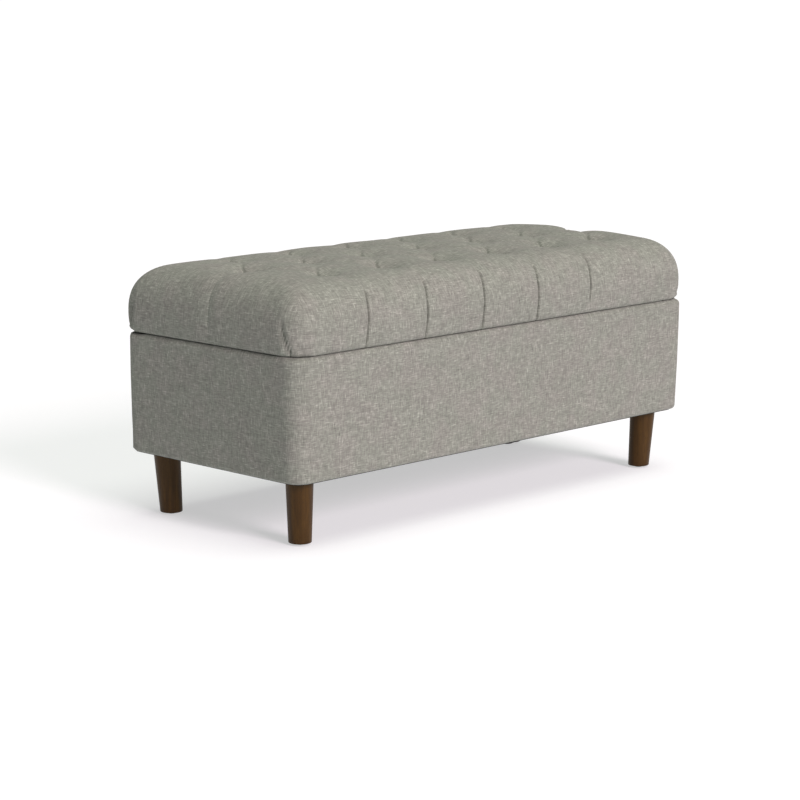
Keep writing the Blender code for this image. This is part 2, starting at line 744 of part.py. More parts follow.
def add_stud(obj, name, x_start, x_end, sx, place):
    """Weld a headed stud onto a plate, along X from inside the plate to past an arm."""
    away = 1 if x_end > x_start else -1
    reach = abs(x_end - x_start)
    profile = [
        (0.0, reach),
        (STAY_HEAD_RADIUS, reach),
        (STAY_HEAD_RADIUS, reach - STAY_HEAD_T),
        (STAY_STUD_RADIUS, reach - STAY_HEAD_T),
        (STAY_STUD_RADIUS, 0.0),
        (0.0, 0.0),
    ]
    stud = turned(name, profile, "zinc_steel", (sx * x_start, place[0], place[1]))
    stud.rotation_euler = (0.0, sx * away * math.pi / 2, 0.0)
    weld_with(obj, make_cutter(stud))


def make_stay_plate(name, sx, place, planes):
    """Plate on the end wall, with the stud that the lower arm turns on."""
    half_w = STAY_PLATE_HALF_WIDTH
    half_h = STAY_PLATE_HALF_HEIGHT
    outlines = [round_rectangle(half_w, half_h, STAY_PLATE_CORNER)]
    screw_height = half_h - STAY_SCREW_INSET
    outlines += [circle((0.0, height), SCREW_HOLE_RADIUS) for height in (screw_height, -screw_height)]
    centre = (sx * planes[0], place[0], place[1])
    plate = as_mesh(side_outline(name, outlines, STAY_T, "zinc_steel", centre))
    head_end = planes[1] - STAY_T / 2 - FIT_GAP - STAY_HEAD_T
    add_stud(plate, name + "_stud", planes[0], head_end, sx, place)


def make_stay_arm(name, sx, plane, start, end, pivot):
    """Flat arm with a round hole at each end, turning about its start."""
    reach = end - start
    outlines = [capsule((0.0, 0.0), reach, STAY_HALF_WIDTH)]
    outlines += [circle((0.0, 0.0), STAY_HOLE_RADIUS), circle(reach, STAY_HOLE_RADIUS)]
    arm = side_outline(name, outlines, STAY_T, "zinc_steel", (sx * plane, start[0], start[1]))
    hang_from(arm, pivot)


def make_knee_rivet(name, sx, knee, planes, pivot):
    """Rivet that joins the two arms of a stay."""
    outer = planes[1] + STAY_T / 2 + FIT_GAP
    inner = planes[2] - STAY_T / 2 - FIT_GAP
    middle = (outer + inner) / 2
    half = (outer - inner) / 2
    profile = [
        (0.0, half + STAY_HEAD_T),
        (STAY_HEAD_RADIUS, half + STAY_HEAD_T),
        (STAY_HEAD_RADIUS, half),
        (STAY_STUD_RADIUS, half),
        (STAY_STUD_RADIUS, -half),
        (STAY_HEAD_RADIUS, -half),
        (STAY_HEAD_RADIUS, -half - STAY_HEAD_T),
        (0.0, -half - STAY_HEAD_T),
    ]
    rivet = turned(name, profile, "zinc_steel", (sx * middle, knee[0], knee[1]))
    rivet.rotation_euler = (0.0, math.pi / 2, 0.0)
    hang_from(rivet, pivot)


def make_lid_bracket(name, sx, place, planes, pivot):
    """Angle bracket under the lid: a foot on the liner and a flange with the upper arm's stud."""
    top = LID_BOARD_BOTTOM_Z - 2 * FIT_GAP - LINER_T - FIT_GAP
    half = STAY_FOOT_HALF_WIDTH
    flange_half = half - STAY_FLANGE_STEP
    drop = top - STAY_FLANGE_STEP - place[1]
    tongue = arc((0.0, 0.0), STAY_HALF_WIDTH, 180, 360, ROUND_STEPS // 2)
    outline = tongue + [(flange_half, drop - STAY_T), (flange_half, drop), (-flange_half, drop),
                        (-flange_half, drop - STAY_T)]
    centre = (sx * planes[3], place[0], place[1])
    bracket = as_mesh(side_outline(name, [outline], STAY_T, "zinc_steel", centre))
    outer = planes[3] + STAY_T / 2 - STAY_FLANGE_STEP
    xs = sorted((sx * outer, sx * (outer - STAY_FOOT_LENGTH)))
    foot = box(name + "_foot", (xs[0], place[0] - half, top - STAY_T),
               (xs[1], place[0] + half, top), "zinc_steel")
    weld_with(bracket, make_cutter(foot))
    head_end = planes[2] + STAY_T / 2 + FIT_GAP + STAY_HEAD_T
    add_stud(bracket, name + "_stud", planes[3], head_end, sx, place)
    screw_x = outer - STAY_FOOT_LENGTH / 2 - STAY_SCREW_SHIFT
    for number, sy in enumerate((-1, 1)):
        hole = disc(name + "_screw_hole_" + str(number), SCREW_HOLE_RADIUS, -STAY_T, STAY_T, "zinc_steel",
                    (sx * screw_x, place[0] + sy * half / 2, top - STAY_T / 2))
        cut_with(bracket, make_cutter(hole))
    hang_from(bracket, pivot)


def make_stays(lid_pivot):
    """A folding stay against each end wall of the box."""
    base, lid, knee = stay_points()
    planes = stay_planes()
    for side, sx in SIDES:
        lower_pivot = pivot_empty(side + "_stay_base_pivot", (sx * planes[1], base[0], base[1]))
        upper_pivot = pivot_empty(side + "_stay_lid_pivot", (sx * planes[2], lid[0], lid[1]))
        make_stay_plate(side + "_stay_base_plate", sx, base, planes)
        make_stay_arm(side + "_stay_lower_arm", sx, planes[1], base, knee, lower_pivot)
        make_stay_arm(side + "_stay_upper_arm", sx, planes[2], lid, knee, upper_pivot)
        make_knee_rivet(side + "_stay_knee_rivet", sx, knee, planes, lower_pivot)
        make_lid_bracket(side + "_stay_lid_bracket", sx, lid, planes, lid_pivot)


def make_bumpers():
    """Rubber bumpers on the front rim, which the shut lid rests on."""
    y = -(INNER_HALF_DEPTH + PANEL_HALF_DEPTH) / 2
    for side, sx in SIDES:
        disc(side + "_lid_bumper", BUMPER_RADIUS, FIT_GAP, LID_BOTTOM_Z - BODY_TOP_Z - FIT_GAP, "rubber",
             (sx * BUMPER_X, y, BODY_TOP_Z))


def main():
    """Build the whole bench."""
    clear_scene()
    new_collection(COLLECTION_NAME)
    new_collection(CUTTER_COLLECTION_NAME)
    lid_pivot = pivot_empty("lid_pivot", (0.0, HINGE_Y, SEAM_Z))
    make_panels()
    make_corner_posts()
    make_battens()
    make_floor_panel()
    make_storage_lining()
    make_legs()
    make_dust_cover()
    make_body_cover()
    make_lid_board(lid_pivot)
    make_lid_foam(lid_pivot)
    make_lid_cover(lid_pivot)
    make_lid_liner(lid_pivot)
    make_hinges(lid_pivot)
    make_stays(lid_pivot)
    make_bumpers()


main()
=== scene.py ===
"""Upholstered storage bench: tufted lid, padded box, turned legs, cloth and hardware."""
import json
import math

import bmesh
import bpy
import numpy as np
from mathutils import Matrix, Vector

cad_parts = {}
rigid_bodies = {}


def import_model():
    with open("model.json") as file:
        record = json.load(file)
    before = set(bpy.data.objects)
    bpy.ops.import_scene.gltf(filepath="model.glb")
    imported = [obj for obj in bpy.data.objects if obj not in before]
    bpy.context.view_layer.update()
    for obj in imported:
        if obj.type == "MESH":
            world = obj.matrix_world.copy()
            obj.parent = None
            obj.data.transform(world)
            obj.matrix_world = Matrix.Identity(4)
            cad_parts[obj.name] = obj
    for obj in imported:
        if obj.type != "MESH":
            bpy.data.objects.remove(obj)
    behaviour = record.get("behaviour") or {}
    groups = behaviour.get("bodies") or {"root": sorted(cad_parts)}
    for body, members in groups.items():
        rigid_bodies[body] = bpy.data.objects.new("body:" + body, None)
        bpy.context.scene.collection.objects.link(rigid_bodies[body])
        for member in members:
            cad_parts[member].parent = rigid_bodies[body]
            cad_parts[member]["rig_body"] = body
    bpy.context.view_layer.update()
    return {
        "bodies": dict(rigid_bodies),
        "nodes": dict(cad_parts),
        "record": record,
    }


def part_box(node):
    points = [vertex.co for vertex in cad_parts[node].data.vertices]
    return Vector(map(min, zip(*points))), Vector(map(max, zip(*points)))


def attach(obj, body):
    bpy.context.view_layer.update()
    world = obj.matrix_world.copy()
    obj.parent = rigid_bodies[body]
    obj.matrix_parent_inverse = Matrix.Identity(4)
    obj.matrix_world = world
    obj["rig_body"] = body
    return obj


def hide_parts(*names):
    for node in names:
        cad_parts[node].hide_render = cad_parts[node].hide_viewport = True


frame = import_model()

bl_info = {
    "name": "Storage Bench",
    "version": (1, 0, 0),
    "blender": (4, 5, 0),
    "location": "View3D > Sidebar > Bench",
    "description": "Upholstered storage bench with a tufted cushion lid",
    "category": "Add Mesh",
}

# Sizes read from the frame -----------------------------------------------------------------------

LID_LOW, LID_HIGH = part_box("lid_cover")
BOX_LOW, BOX_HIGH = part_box("body_cover")
HALF_LENGTH = LID_HIGH.x
HALF_DEPTH = LID_HIGH.y
SEAT_TOP_Z = LID_HIGH.z
LID_BOTTOM_Z = LID_LOW.z
BOX_TOP_Z = BOX_HIGH.z
BOX_BOTTOM_Z = BOX_LOW.z
CORNERS = tuple((end, side) for end in ("front", "back") for side in ("left", "right"))
SIDE_SIGN = {"left": -1, "right": 1}

# Sizes that the frame's boxes don't give, in metres ----------------------------------------------

FIT_GAP = 0.0003
TWEED_SKIN = 0.0018
LINING_SKIN = 0.0009
LINING_GAP = 0.0004
LINING_BELLY = 0.0010
LINING_CORNER = 0.004
LINING_FILLET = 0.007
DUST_CLOTH_CORNER = 0.022
LID_LINER_CORNER = 0.009
SHEET_STEP = 0.006
RIM_INSETS = (0.0175, 0.0155, 0.0135, 0.0115, 0.0095, 0.008)
DRAWN_WITHIN = (0.0125, 0.020)
RIM_ENDS_AT_Y = (0.15, 0.19)
TURNED_UNDER = (0.022, 0.030, 0.0345, 0.0350)
HEM_RISE = 0.0011
LINER_HEM = 0.0003
LINER_HEM_PLACE = (0.008, 0.011)
FOAM_DEPTH = 0.0115
FOAM_GRID = (0.012, 0.005)
TUCK_IN = 0.010
TUCK_HALF_WIDTH = 0.016
TUCK_HALF_DEPTH = 0.007
LEG_TOP_RADIUS = 0.02375
LEG_FOOT_RADIUS = 0.0198
BOLT_BORE_RADIUS = 0.0043
BOLT_BORE_DEPTH = 0.0356
HINGE_SCREW_ROW = 0.0095
HINGE_SCREW_PLACES = (-0.022, 0.0, 0.022)
STAY_THICKNESS = 0.002
PLATE_SCREW_PLACES = (-0.015, 0.015)
BRACKET_SCREW_PLACES = (-0.006, 0.006)
BRACKET_SCREW_IN = 0.010
BRACKET_SCREW = {"radius": 0.0034, "crown": 0.0009, "length": 0.0016}
FLUSH_SCREW_LENGTH = 0.0006
SCREW_SHIFT = 0.0001
FLOOR_Z = -0.0002

# Points round turned solids, and along X, along Y and round each corner of level rings.
LEG_STEPS = 72
SMALL_STEPS = 48
BODY_RING = (150, 70, 12)
LINING_RING = (90, 44, 5)


# Mesh helpers ------------------------------------------------------------------------------------

def new_piece(name, points, faces, slot, uv=None, sharp=180, finish=None):
    """Object at the origin from points (n, 3), faces and one uv pair for each face corner, in metres.

    It wears the material of its slot, unless another finish is given.
    """
    mesh = bpy.data.meshes.new(name)
    mesh.from_pydata(np.asarray(points).reshape(-1, 3).tolist(), [], [list(face) for face in faces])
    if uv is not None:
        layer = mesh.uv_layers.new(name="cloth")
        layer.data.foreach_set("uv", np.asarray(uv, np.float32).ravel())
    shape = bmesh.new()
    shape.from_mesh(mesh)
    bmesh.ops.remove_doubles(shape, verts=shape.verts, dist=0.000002)
    bmesh.ops.recalc_face_normals(shape, faces=shape.faces)
    shape.to_mesh(mesh)
    shape.free()
    mesh.shade_smooth()
    if sharp < 180:
        mesh.set_sharp_from_angle(angle=math.radians(sharp))
    obj = bpy.data.objects.new(name, mesh)
    bpy.context.scene.collection.objects.link(obj)
    mesh.materials.append(finish or FINISHES[slot])
    return obj


def grid_faces(rows, columns, wrap_rows=False, wrap_columns=False):
    """Quads of a grid of points, row by row, optionally joined end to end either way."""
    i = np.arange(rows if wrap_rows else rows - 1)
    j = np.arange(columns if wrap_columns else columns - 1)
    i, j = np.meshgrid(i, j, indexing="ij")
    up = (i + 1) % rows
    right = (j + 1) % columns
    quads = np.stack([i * columns + j, i * columns + right, up * columns + right, up * columns + j], -1)
    return quads.reshape(-1, 4)


def band_faces(first, second):
    """Quads between two closed loops of point numbers."""
    return np.stack([first, np.roll(first, -1), np.roll(second, -1), second], -1)


def graded(low, high, coarse, zones):
    """Places from low to high whose spacing falls from coarse to fine in each (centres, fine, reach) zone.

    The density of lines is 1 / coarse plus, for each zone, a bell curve round its nearest centre;
    the places are where the running total of that density is a whole number.
    """
    ruler = np.linspace(low, high, 9001)
    density = np.full(ruler.shape, 1 / coarse)
    for centres, fine, reach in zones:
        gap = np.abs(ruler[:, None] - np.asarray(centres)[None, :]).min(1)
        density = density + (1 / fine - 1 / coarse) * np.exp(-(gap / reach) ** 2)
    total = np.concatenate([[0], np.cumsum((density[1:] + density[:-1]) / 2 * np.diff(ruler))])
    return np.interp(np.linspace(0, total[-1], math.ceil(total[-1]) + 1), total, ruler)


def smooth_step(value, start, end):
    """0 before start, 1 after end, and the cubic 3t^2 - 2t^3 between."""
    t = np.clip((value - start) / (end - start), 0, 1)
    return t * t * (3 - 2 * t)


def path_distance(x, y, path):
    """Distance from points to a polyline in a plane, and how far along it the nearest place is, 0 to 1."""
    path = np.asarray(path, float)
    start, step = path[:-1], np.diff(path, axis=0)
    length = np.hypot(step[:, 0], step[:, 1])
    ahead = np.concatenate([[0], np.cumsum(length)])
    near = np.full(np.shape(x), np.inf)
    along = np.zeros(np.shape(x))
    for (px, py), (dx, dy), size, before in zip(start, step, length, ahead):
        t = np.clip(((x - px) * dx + (y - py) * dy) / size ** 2, 0, 1)
        gap = np.hypot(x - px - t * dx, y - py - t * dy)
        closer = gap < near
        near = np.where(closer, gap, near)
        along = np.where(closer, (before + t * size) / ahead[-1], along)
    return near, along


def waves(x, y, size, seed):
    """Gentle unevenness of about -1 to 1: a sum of sines of x and y with seeded slopes and phases."""
    chance = np.random.default_rng(seed)
    total = np.zeros(np.broadcast(x, y).shape)
    for _ in range(7):
        angle = chance.uniform(0, 2 * math.pi)
        stretch = chance.uniform(0.6, 1.7)
        phase = chance.uniform(0, 2 * math.pi)
        place = x * math.cos(angle) + y * math.sin(angle)
        total = total + np.sin(2 * math.pi * stretch * place / size + phase)
    return total / 4


# Materials ---------------------------------------------------------------------------------------

class Value:
    """A number inside a material. Python's operators on it add Math nodes."""

    def __init__(self, finish, socket):
        self.finish = finish
        self.socket = socket

    def math(self, operation, *others):
        inputs = {i: other for i, other in enumerate((self,) + others)}
        return self.finish.value("ShaderNodeMath", {"operation": operation}, inputs)

    def flipped(self, operation, other):
        return self.finish.value("ShaderNodeMath", {"operation": operation}, {0: other, 1: self})

    def __add__(self, other):
        return self.math("ADD", other)

    def __sub__(self, other):
        return self.math("SUBTRACT", other)

    def __mul__(self, other):
        return self.math("MULTIPLY", other)

    def __truediv__(self, other):
        return self.math("DIVIDE", other)

    def __rsub__(self, other):
        return self.flipped("SUBTRACT", other)

    def __rtruediv__(self, other):
        return self.flipped("DIVIDE", other)

    __radd__ = __add__
    __rmul__ = __mul__

    def clamped(self):
        """The value held between 0 and 1."""
        held = self.math("ADD", 0.0)
        held.socket.node.use_clamp = True
        return held


class Finish:
    """One material's node tree, with its Principled shader."""

    def __init__(self, name, roughness, metallic=0.0):
        self.material = bpy.data.materials.new(name)
        self.material.use_nodes = True
        self.tree = self.material.node_tree
        self.shader = self.tree.nodes["Principled BSDF"]
        self.shader.inputs["Roughness"].default_value = roughness
        self.shader.inputs["Metallic"].default_value = metallic

    def node(self, kind, settings, inputs):
        """Add a node: its settings first, then its sockets' values or links."""
        made = self.tree.nodes.new(kind)
        for key, setting in settings.items():
            if key == "stops":
                self.set_stops(made.color_ramp, setting)
            else:
                setattr(made, key, setting)
        for key, value in inputs.items():
            self.feed(made.inputs[key], value)
        return made

    def set_stops(self, ramp, stops):
        """Give a colour ramp its (place, colour) stops."""
        while len(ramp.elements) < len(stops):
            ramp.elements.new(1.0)
        for element, (place, color) in zip(ramp.elements, stops):
            element.position = place
            element.color = (*color, 1.0)

    def feed(self, socket, value):
        """Link a value or socket to a socket, or set the socket's own number."""
        if isinstance(value, Value):
            value = value.socket
        if isinstance(value, bpy.types.NodeSocket):
            self.tree.links.new(value, socket)
        else:
            socket.default_value = value

    def value(self, kind, settings, inputs):
        """Add a node and wrap its first output."""
        return Value(self, self.node(kind, settings, inputs).outputs[0])

    def uv(self):
        """The two coordinates of the piece's cloth map, in metres."""
        place = self.node("ShaderNodeUVMap", {"uv_map": "cloth"}, {})
        parts = self.node("ShaderNodeSeparateXYZ", {}, {0: place.outputs[0]})
        return Value(self, parts.outputs[0]), Value(self, parts.outputs[1])

    def place(self):
        """The three object coordinates, in metres."""
        place = self.node("ShaderNodeTexCoord", {}, {})
        parts = self.node("ShaderNodeSeparateXYZ", {}, {0: place.outputs["Object"]})
        return [Value(self, parts.outputs[i]) for i in range(3)]

    def noise(self, x, y, z, detail=2.0, roughness=0.5, distortion=0.0):
        """Noise of about 0 to 1 at a place given in grains along each axis."""
        at = self.value("ShaderNodeCombineXYZ", {}, {0: x, 1: y, 2: z})
        return self.value("ShaderNodeTexNoise", {}, {
            "Vector": at, "Scale": 1.0, "Detail": detail, "Roughness": roughness, "Distortion": distortion})

    def ramp(self, value, stops):
        """Colour of a value between the given (place, colour) stops."""
        return self.node("ShaderNodeValToRGB", {"stops": stops}, {0: value}).outputs[0]

    def mix(self, share, first, second, blend="MIX"):
        """Blend two colours by a share of 0 to 1."""
        inputs = {0: share, 6: first, 7: second}
        return self.node("ShaderNodeMix", {"data_type": "RGBA", "blend_type": blend}, inputs).outputs[2]

    def color(self, value):
        self.feed(self.shader.inputs["Base Color"], value)

    def rough(self, value):
        self.feed(self.shader.inputs["Roughness"], value)

    def bump(self, height, distance, strength=1.0):
        """Raise the surface by a height of 0 to 1 over a distance in metres."""
        inputs = {"Height": height, "Distance": distance, "Strength": strength}
        bump = self.node("ShaderNodeBump", {}, inputs)
        self.feed(self.shader.inputs["Normal"], bump.outputs[0])


def rgba(color):
    """Colour of a setting as four numbers."""
    return (color[0], color[1], color[2], 1.0)


def tweed_finish(settings):
    """Slubbed plain weave: light and dark yarns both ways, with faint warm and green patches."""
    finish = Finish("grey tweed", 0.92)
    u, v = finish.uv()
    yarn = settings.yarn_width
    slub = settings.slub_length
    warp = finish.noise(u / yarn, v / slub, 1.7, detail=1.5, roughness=0.6)
    weft = finish.noise(u / slub, v / yarn, 8.3, detail=1.5, roughness=0.6)
    warp_broad = finish.noise(u / (2.6 * yarn), v / (1.4 * slub), 4.1, detail=1.0)
    weft_broad = finish.noise(u / (1.4 * slub), v / (2.6 * yarn), 6.6, detail=1.0)
    over_warp = (u * (math.pi / settings.weave_pitch)).math("SINE")
    over_weft = (v * (math.pi / settings.weave_pitch)).math("SINE")
    weave = over_warp * over_weft
    threads = (warp - 0.5) * 1.5 + (weft - 0.5) * 1.5 + (warp_broad - 0.5) * 0.5 + (weft_broad - 0.5) * 0.5
    slubs = ((warp - 0.63) * 6.0).clamped() + ((weft - 0.63) * 6.0).clamped()
    tone = threads * settings.thread_contrast + slubs * settings.slub_brightness
    share = (tone + 0.462 + weave * 0.10).clamped()
    cloth = finish.ramp(share, [
        (0.0, settings.dark_yarn), (0.5, settings.middle_yarn), (1.0, settings.light_yarn)])
    patch = finish.noise(u / 0.045, v / 0.045, 2.2, detail=2.0)
    warm = finish.mix(((patch - 0.42) * 5.0).clamped(), rgba(settings.green_tint), rgba(settings.warm_tint))
    finish.color(finish.mix(1.0, cloth, warm, "MULTIPLY"))
    relief = weave * 0.25 + (warp - 0.5) * 0.9 + (weft - 0.5) * 0.9 + 0.5
    finish.bump(relief, 0.0006, 0.55)
    finish.shader.inputs["Sheen Weight"].default_value = 0.08
    finish.shader.inputs["Sheen Roughness"].default_value = 0.6
    finish.shader.inputs["Specular IOR Level"].default_value = 0.2
    return finish.material


def lining_finish(settings):
    """Plain charcoal lining cloth with a fine even weave."""
    finish = Finish("charcoal lining", 0.9)
    u, v = finish.uv()
    pitch = 0.0012
    weave = (u * (2 * math.pi / pitch)).math("SINE") * (v * (2 * math.pi / pitch)).math("SINE")
    cloud = finish.noise(u / 0.05, v / 0.05, 0.4, detail=3.0)
    thread = finish.noise(u / 0.0012, v / 0.02, 3.4) + finish.noise(u / 0.02, v / 0.0012, 5.4)
    share = (cloud * 0.5 + (thread - 1.0) * 0.5 + weave * 0.06 + 0.25).clamped()
    dark = [channel * 0.6 for channel in settings.lining]
    light = [channel * 1.5 for channel in settings.lining]
    finish.color(finish.ramp(share, [(0.0, dark), (1.0, light)]))
    finish.bump(weave * 0.5 + 0.5, 0.0003, 0.5)
    return finish.material


def dust_cloth_finish(settings):
    """Black spun cloth with a grid of pressed dots and loose fibres."""
    finish = Finish("black dust cloth", 0.85)
    x, y, z = finish.place()
    pitch = 0.0016
    dots = (x * (2 * math.pi / pitch)).math("COSINE") * (y * (2 * math.pi / pitch)).math("COSINE")
    fibre = finish.noise(x / 0.004, y / 0.0007, z / 0.004, detail=4.0, distortion=1.5)
    share = (fibre * 0.8 + dots * 0.15).clamped()
    light = [channel * 2.4 for channel in settings.dust_cloth]
    finish.color(finish.ramp(share, [(0.2, settings.dust_cloth), (0.9, light)]))
    finish.rough(fibre * 0.2 + 0.72)
    finish.bump(dots * 0.5 + fibre * 0.6, 0.0002, 0.6)
    return finish.material


def leg_wood_finish(settings):
    """Walnut-stained turned wood: long grain up the leg, dark pores, satin lacquer, and feet made darker
    over their lowest 12 mm.
    """
    finish = Finish("walnut stained wood", 0.42)
    x, y, z = finish.place()
    sway = finish.noise(x / 0.05, y / 0.05, z / 0.12, detail=2.0) * 0.010
    ring = finish.noise((x + sway) / 0.007, (y + sway) / 0.007, z / 0.22, detail=3.0, roughness=0.6)
    grain = finish.noise(x / 0.0016, y / 0.0016, z / 0.045, detail=3.0, roughness=0.65)
    pore = finish.noise(x / 0.0007, y / 0.0007, z / 0.009, detail=2.0)
    share = (ring * 0.75 + grain * 0.45 - 0.12).clamped()
    wood = finish.ramp(share, [
        (0.15, settings.dark_wood), (0.5, settings.middle_wood), (0.85, settings.light_wood)])
    pits = ((pore - 0.60) * 9.0).clamped()
    wood = finish.mix(pits * 0.55, wood, rgba([channel * 0.35 for channel in settings.dark_wood]))
    # The leg is painted darker over its lowest 12 mm towards the floor, mixing up to 35 % towards a darker
    # wood colour.
    foot_darkening = (1.0 - z / 0.012).clamped() * 0.35
    finish.color(finish.mix(foot_darkening, wood, rgba([channel * 0.6 for channel in settings.dark_wood])))
    finish.rough(grain * 0.16 + pits * 0.2 + 0.34)
    finish.bump(grain * 0.5 - pits * 0.5 + 0.5, 0.00018, 0.7)
    finish.shader.inputs["Coat Weight"].default_value = 0.05
    finish.shader.inputs["Specular IOR Level"].default_value = 0.15
    finish.shader.inputs["Coat Roughness"].default_value = 0.35
    return finish.material


def board_finish(name, light, dark, ply_axis):
    """Sanded board: long grain, soft knots, and thin plies seen on its edges."""
    finish = Finish(name, 0.7)
    x, y, z = finish.place()
    swirl = finish.noise(x / 0.35, y / 0.12, z / 0.35, detail=2.0) * 0.05
    grain = finish.noise(x / 0.30, (y + swirl) / 0.012, (z + swirl) / 0.012, detail=4.0, roughness=0.6)
    fibre = finish.noise(x / 0.05, y / 0.0015, z / 0.0015, detail=2.0)
    plies = ((x, y, z)[ply_axis] * (2 * math.pi / 0.003)).math("SINE")
    share = (grain * 0.8 + fibre * 0.3 + plies * 0.05 - 0.05).clamped()
    finish.color(finish.ramp(share, [(0.2, dark), (0.8, light)]))
    finish.rough(fibre * 0.2 + 0.6)
    finish.bump(fibre * 0.6 + grain * 0.4, 0.0003, 0.5)
    return finish.material


def foam_finish():
    """Cream open-cell foam: fine pits with yellowed patches."""
    finish = Finish("seat foam", 0.95)
    x, y, z = finish.place()
    cells = finish.value("ShaderNodeTexVoronoi", {}, {
        "Vector": finish.value("ShaderNodeCombineXYZ", {}, {0: x, 1: y, 2: z}), "Scale": 900.0})
    age = finish.noise(x / 0.09, y / 0.09, z / 0.09, detail=3.0)
    share = (cells * 0.8 + age * 0.4).clamped()
    finish.color(finish.ramp(share, [(0.1, (0.45, 0.37, 0.21)), (0.8, (0.80, 0.73, 0.52))]))
    finish.bump(cells, 0.0006, 0.8)
    return finish.material


def steel_finish(settings):
    """Zinc-plated steel: brushed lines, cloudy plating and a little dulling."""
    finish = Finish("zinc plated steel", 0.35, 1.0)
    x, y, z = finish.place()
    brushed = finish.noise(x / 0.0006, y / 0.02, z / 0.0006, detail=3.0)
    cloud = finish.noise(x / 0.012, y / 0.012, z / 0.012, detail=3.0)
    share = (cloud * 0.7 + brushed * 0.35 - 0.05).clamped()
    finish.color(finish.ramp(share, [(0.2, (0.40, 0.41, 0.42)), (0.8, settings.steel)]))
    finish.rough(brushed * 0.18 + cloud * 0.15 + 0.2)
    finish.bump(brushed, 0.00005, 0.4)
    return finish.material


def moulded_finish(name, color, grain, roughness):
    """Moulded plastic or rubber: fine grain, scuffs that dull it and a dusty bloom."""
    finish = Finish(name, roughness)
    x, y, z = finish.place()
    fine = finish.noise(x / grain, y / grain, z / grain, detail=3.0)
    scuff = finish.noise(x / 0.0012, y / 0.006, z / 0.0012, detail=2.0)
    bloom = ((fine * 0.5 + scuff * 0.6) - 0.15).clamped()
    light = [channel * 2.2 + 0.01 for channel in color]
    finish.color(finish.ramp(bloom, [(0.3, color), (0.9, light)]))
    finish.rough(scuff * 0.2 + roughness - 0.1)
    finish.bump(fine, 0.0001, 0.6)
    return finish.material


def floor_finish(settings):
    """Pale seamless studio floor with the faintest mottling."""
    finish = Finish("studio floor", 0.8)
    x, y, z = finish.place()
    cloud = finish.noise(x / 0.9, y / 0.9, z, detail=3.0)
    light = list(settings.floor)
    dark = [channel * 0.985 for channel in settings.floor]
    finish.color(finish.ramp(cloud, [(0.3, dark), (0.7, light)]))
    finish.shader.inputs["Specular IOR Level"].default_value = 0.1
    finish.shader.inputs["Emission Color"].default_value = rgba(settings.floor_glow)
    finish.shader.inputs["Emission Strength"].default_value = 1.0
    return finish.material


FINISHES = {}


def make_finishes(scene):
    """Make each material once, under the name of the record's slot that it serves."""
    cloth, wood, trim = scene.bench_cloth, scene.bench_wood, scene.bench_trim
    FINISHES["tweed"] = tweed_finish(cloth)
    FINISHES["lining_cloth"] = lining_finish(cloth)
    FINISHES["black_cloth"] = dust_cloth_finish(cloth)
    FINISHES["walnut"] = leg_wood_finish(wood)
    FINISHES["plywood"] = board_finish("birch plywood", wood.light_board, wood.dark_board, 2)
    FINISHES["pine"] = board_finish("planed pine", wood.light_pine, wood.dark_pine, 0)
    FINISHES["foam"] = foam_finish()
    FINISHES["zinc_steel"] = steel_finish(trim)
    FINISHES["dark_plastic"] = moulded_finish("dark plastic", list(trim.plastic), 0.0009, 0.5)
    FINISHES["rubber"] = moulded_finish("bumper rubber", list(trim.rubber), 0.0005, 0.8)


# Lid cushion -------------------------------------------------------------------------------------

def tuft_rows(lid):
    """Tuft places in plan as (x, y): a middle row, and a row each side of it half a pitch along."""
    middle = [(i * lid.tuft_pitch + lid.tuft_shift, 0.0) for i in range(-3, 4)]
    outer = [((i + 0.5) * lid.tuft_pitch + lid.tuft_shift, lid.row_pitch) for i in range(-3, 3)]
    front = [(x, -y) for x, y in outer]
    return middle, front, outer


def corner_direction(turn, square):
    """Outline of a quarter of a rounded square, from (1, 0) at turn 0 to (0, 1) at turn 1.

    It runs straight for the length square, round an arc of radius 1 - square, and straight again,
    at an even pace.
    """
    total = 2 * square + (1 - square) * math.pi / 2
    along = turn * total
    angle = np.clip((along - square) / (1 - square), 0, math.pi / 2)
    x = square + (1 - square) * np.cos(angle) - np.maximum(along - (total - square), 0)
    y = np.minimum(along, square) + (1 - square) * np.sin(angle)
    return x, y, total


def edge_section(lid):
    """Section of the cushion's edge as (run, offset, height), from the flat of the seat downwards.

    The shoulder is a superellipse, offset = reach * sin(t) ** (2 / m) and height above the side =
    rise * cos(t) ** (2 / m); the side below it falls to the bottom roll, drawing in as a parabola.
    """
    t = np.linspace(0, math.pi / 2, 240)
    power = 2 / lid.shoulder_power
    rise = SEAT_TOP_Z + lid.puff - lid.crown - lid.side_top
    offset = lid.shoulder_reach * np.sin(t) ** power
    height = lid.side_top + rise * np.cos(t) ** power
    side_bottom = LID_BOTTOM_Z + lid.roll_radius
    fall = np.linspace(0, 1, 40)[1:]
    offset = np.concatenate([offset, lid.shoulder_reach - lid.draw_in * fall ** 2])
    height = np.concatenate([height, lid.side_top + (side_bottom - lid.side_top) * fall])
    run = np.concatenate([[0], np.cumsum(np.hypot(np.diff(offset), np.diff(height)))])
    return run, offset, height


def past_core(a, b, lid):
    """Where cloth coordinates lie against the cushion's flat core.

    Returns the nearest place of the core, the larger overshoot past it, the turn round its corner
    from 0 on the ends to 1 on the long sides, and whether the place belongs to a long side.
    """
    core_x, core_y = HALF_LENGTH - lid.shoulder_reach, HALF_DEPTH - lid.shoulder_reach
    over_x = np.maximum(np.abs(a) - core_x, 0)
    over_y = np.maximum(np.abs(b) - core_y, 0)
    run = np.maximum(over_x, over_y)
    larger = np.maximum(run, 1e-9)
    on_long = over_y > over_x
    turn = np.where(on_long, 1 - 0.5 * over_x / larger, 0.5 * over_y / larger)
    return np.clip(a, -core_x, core_x), np.clip(b, -core_y, core_y), run, turn, on_long


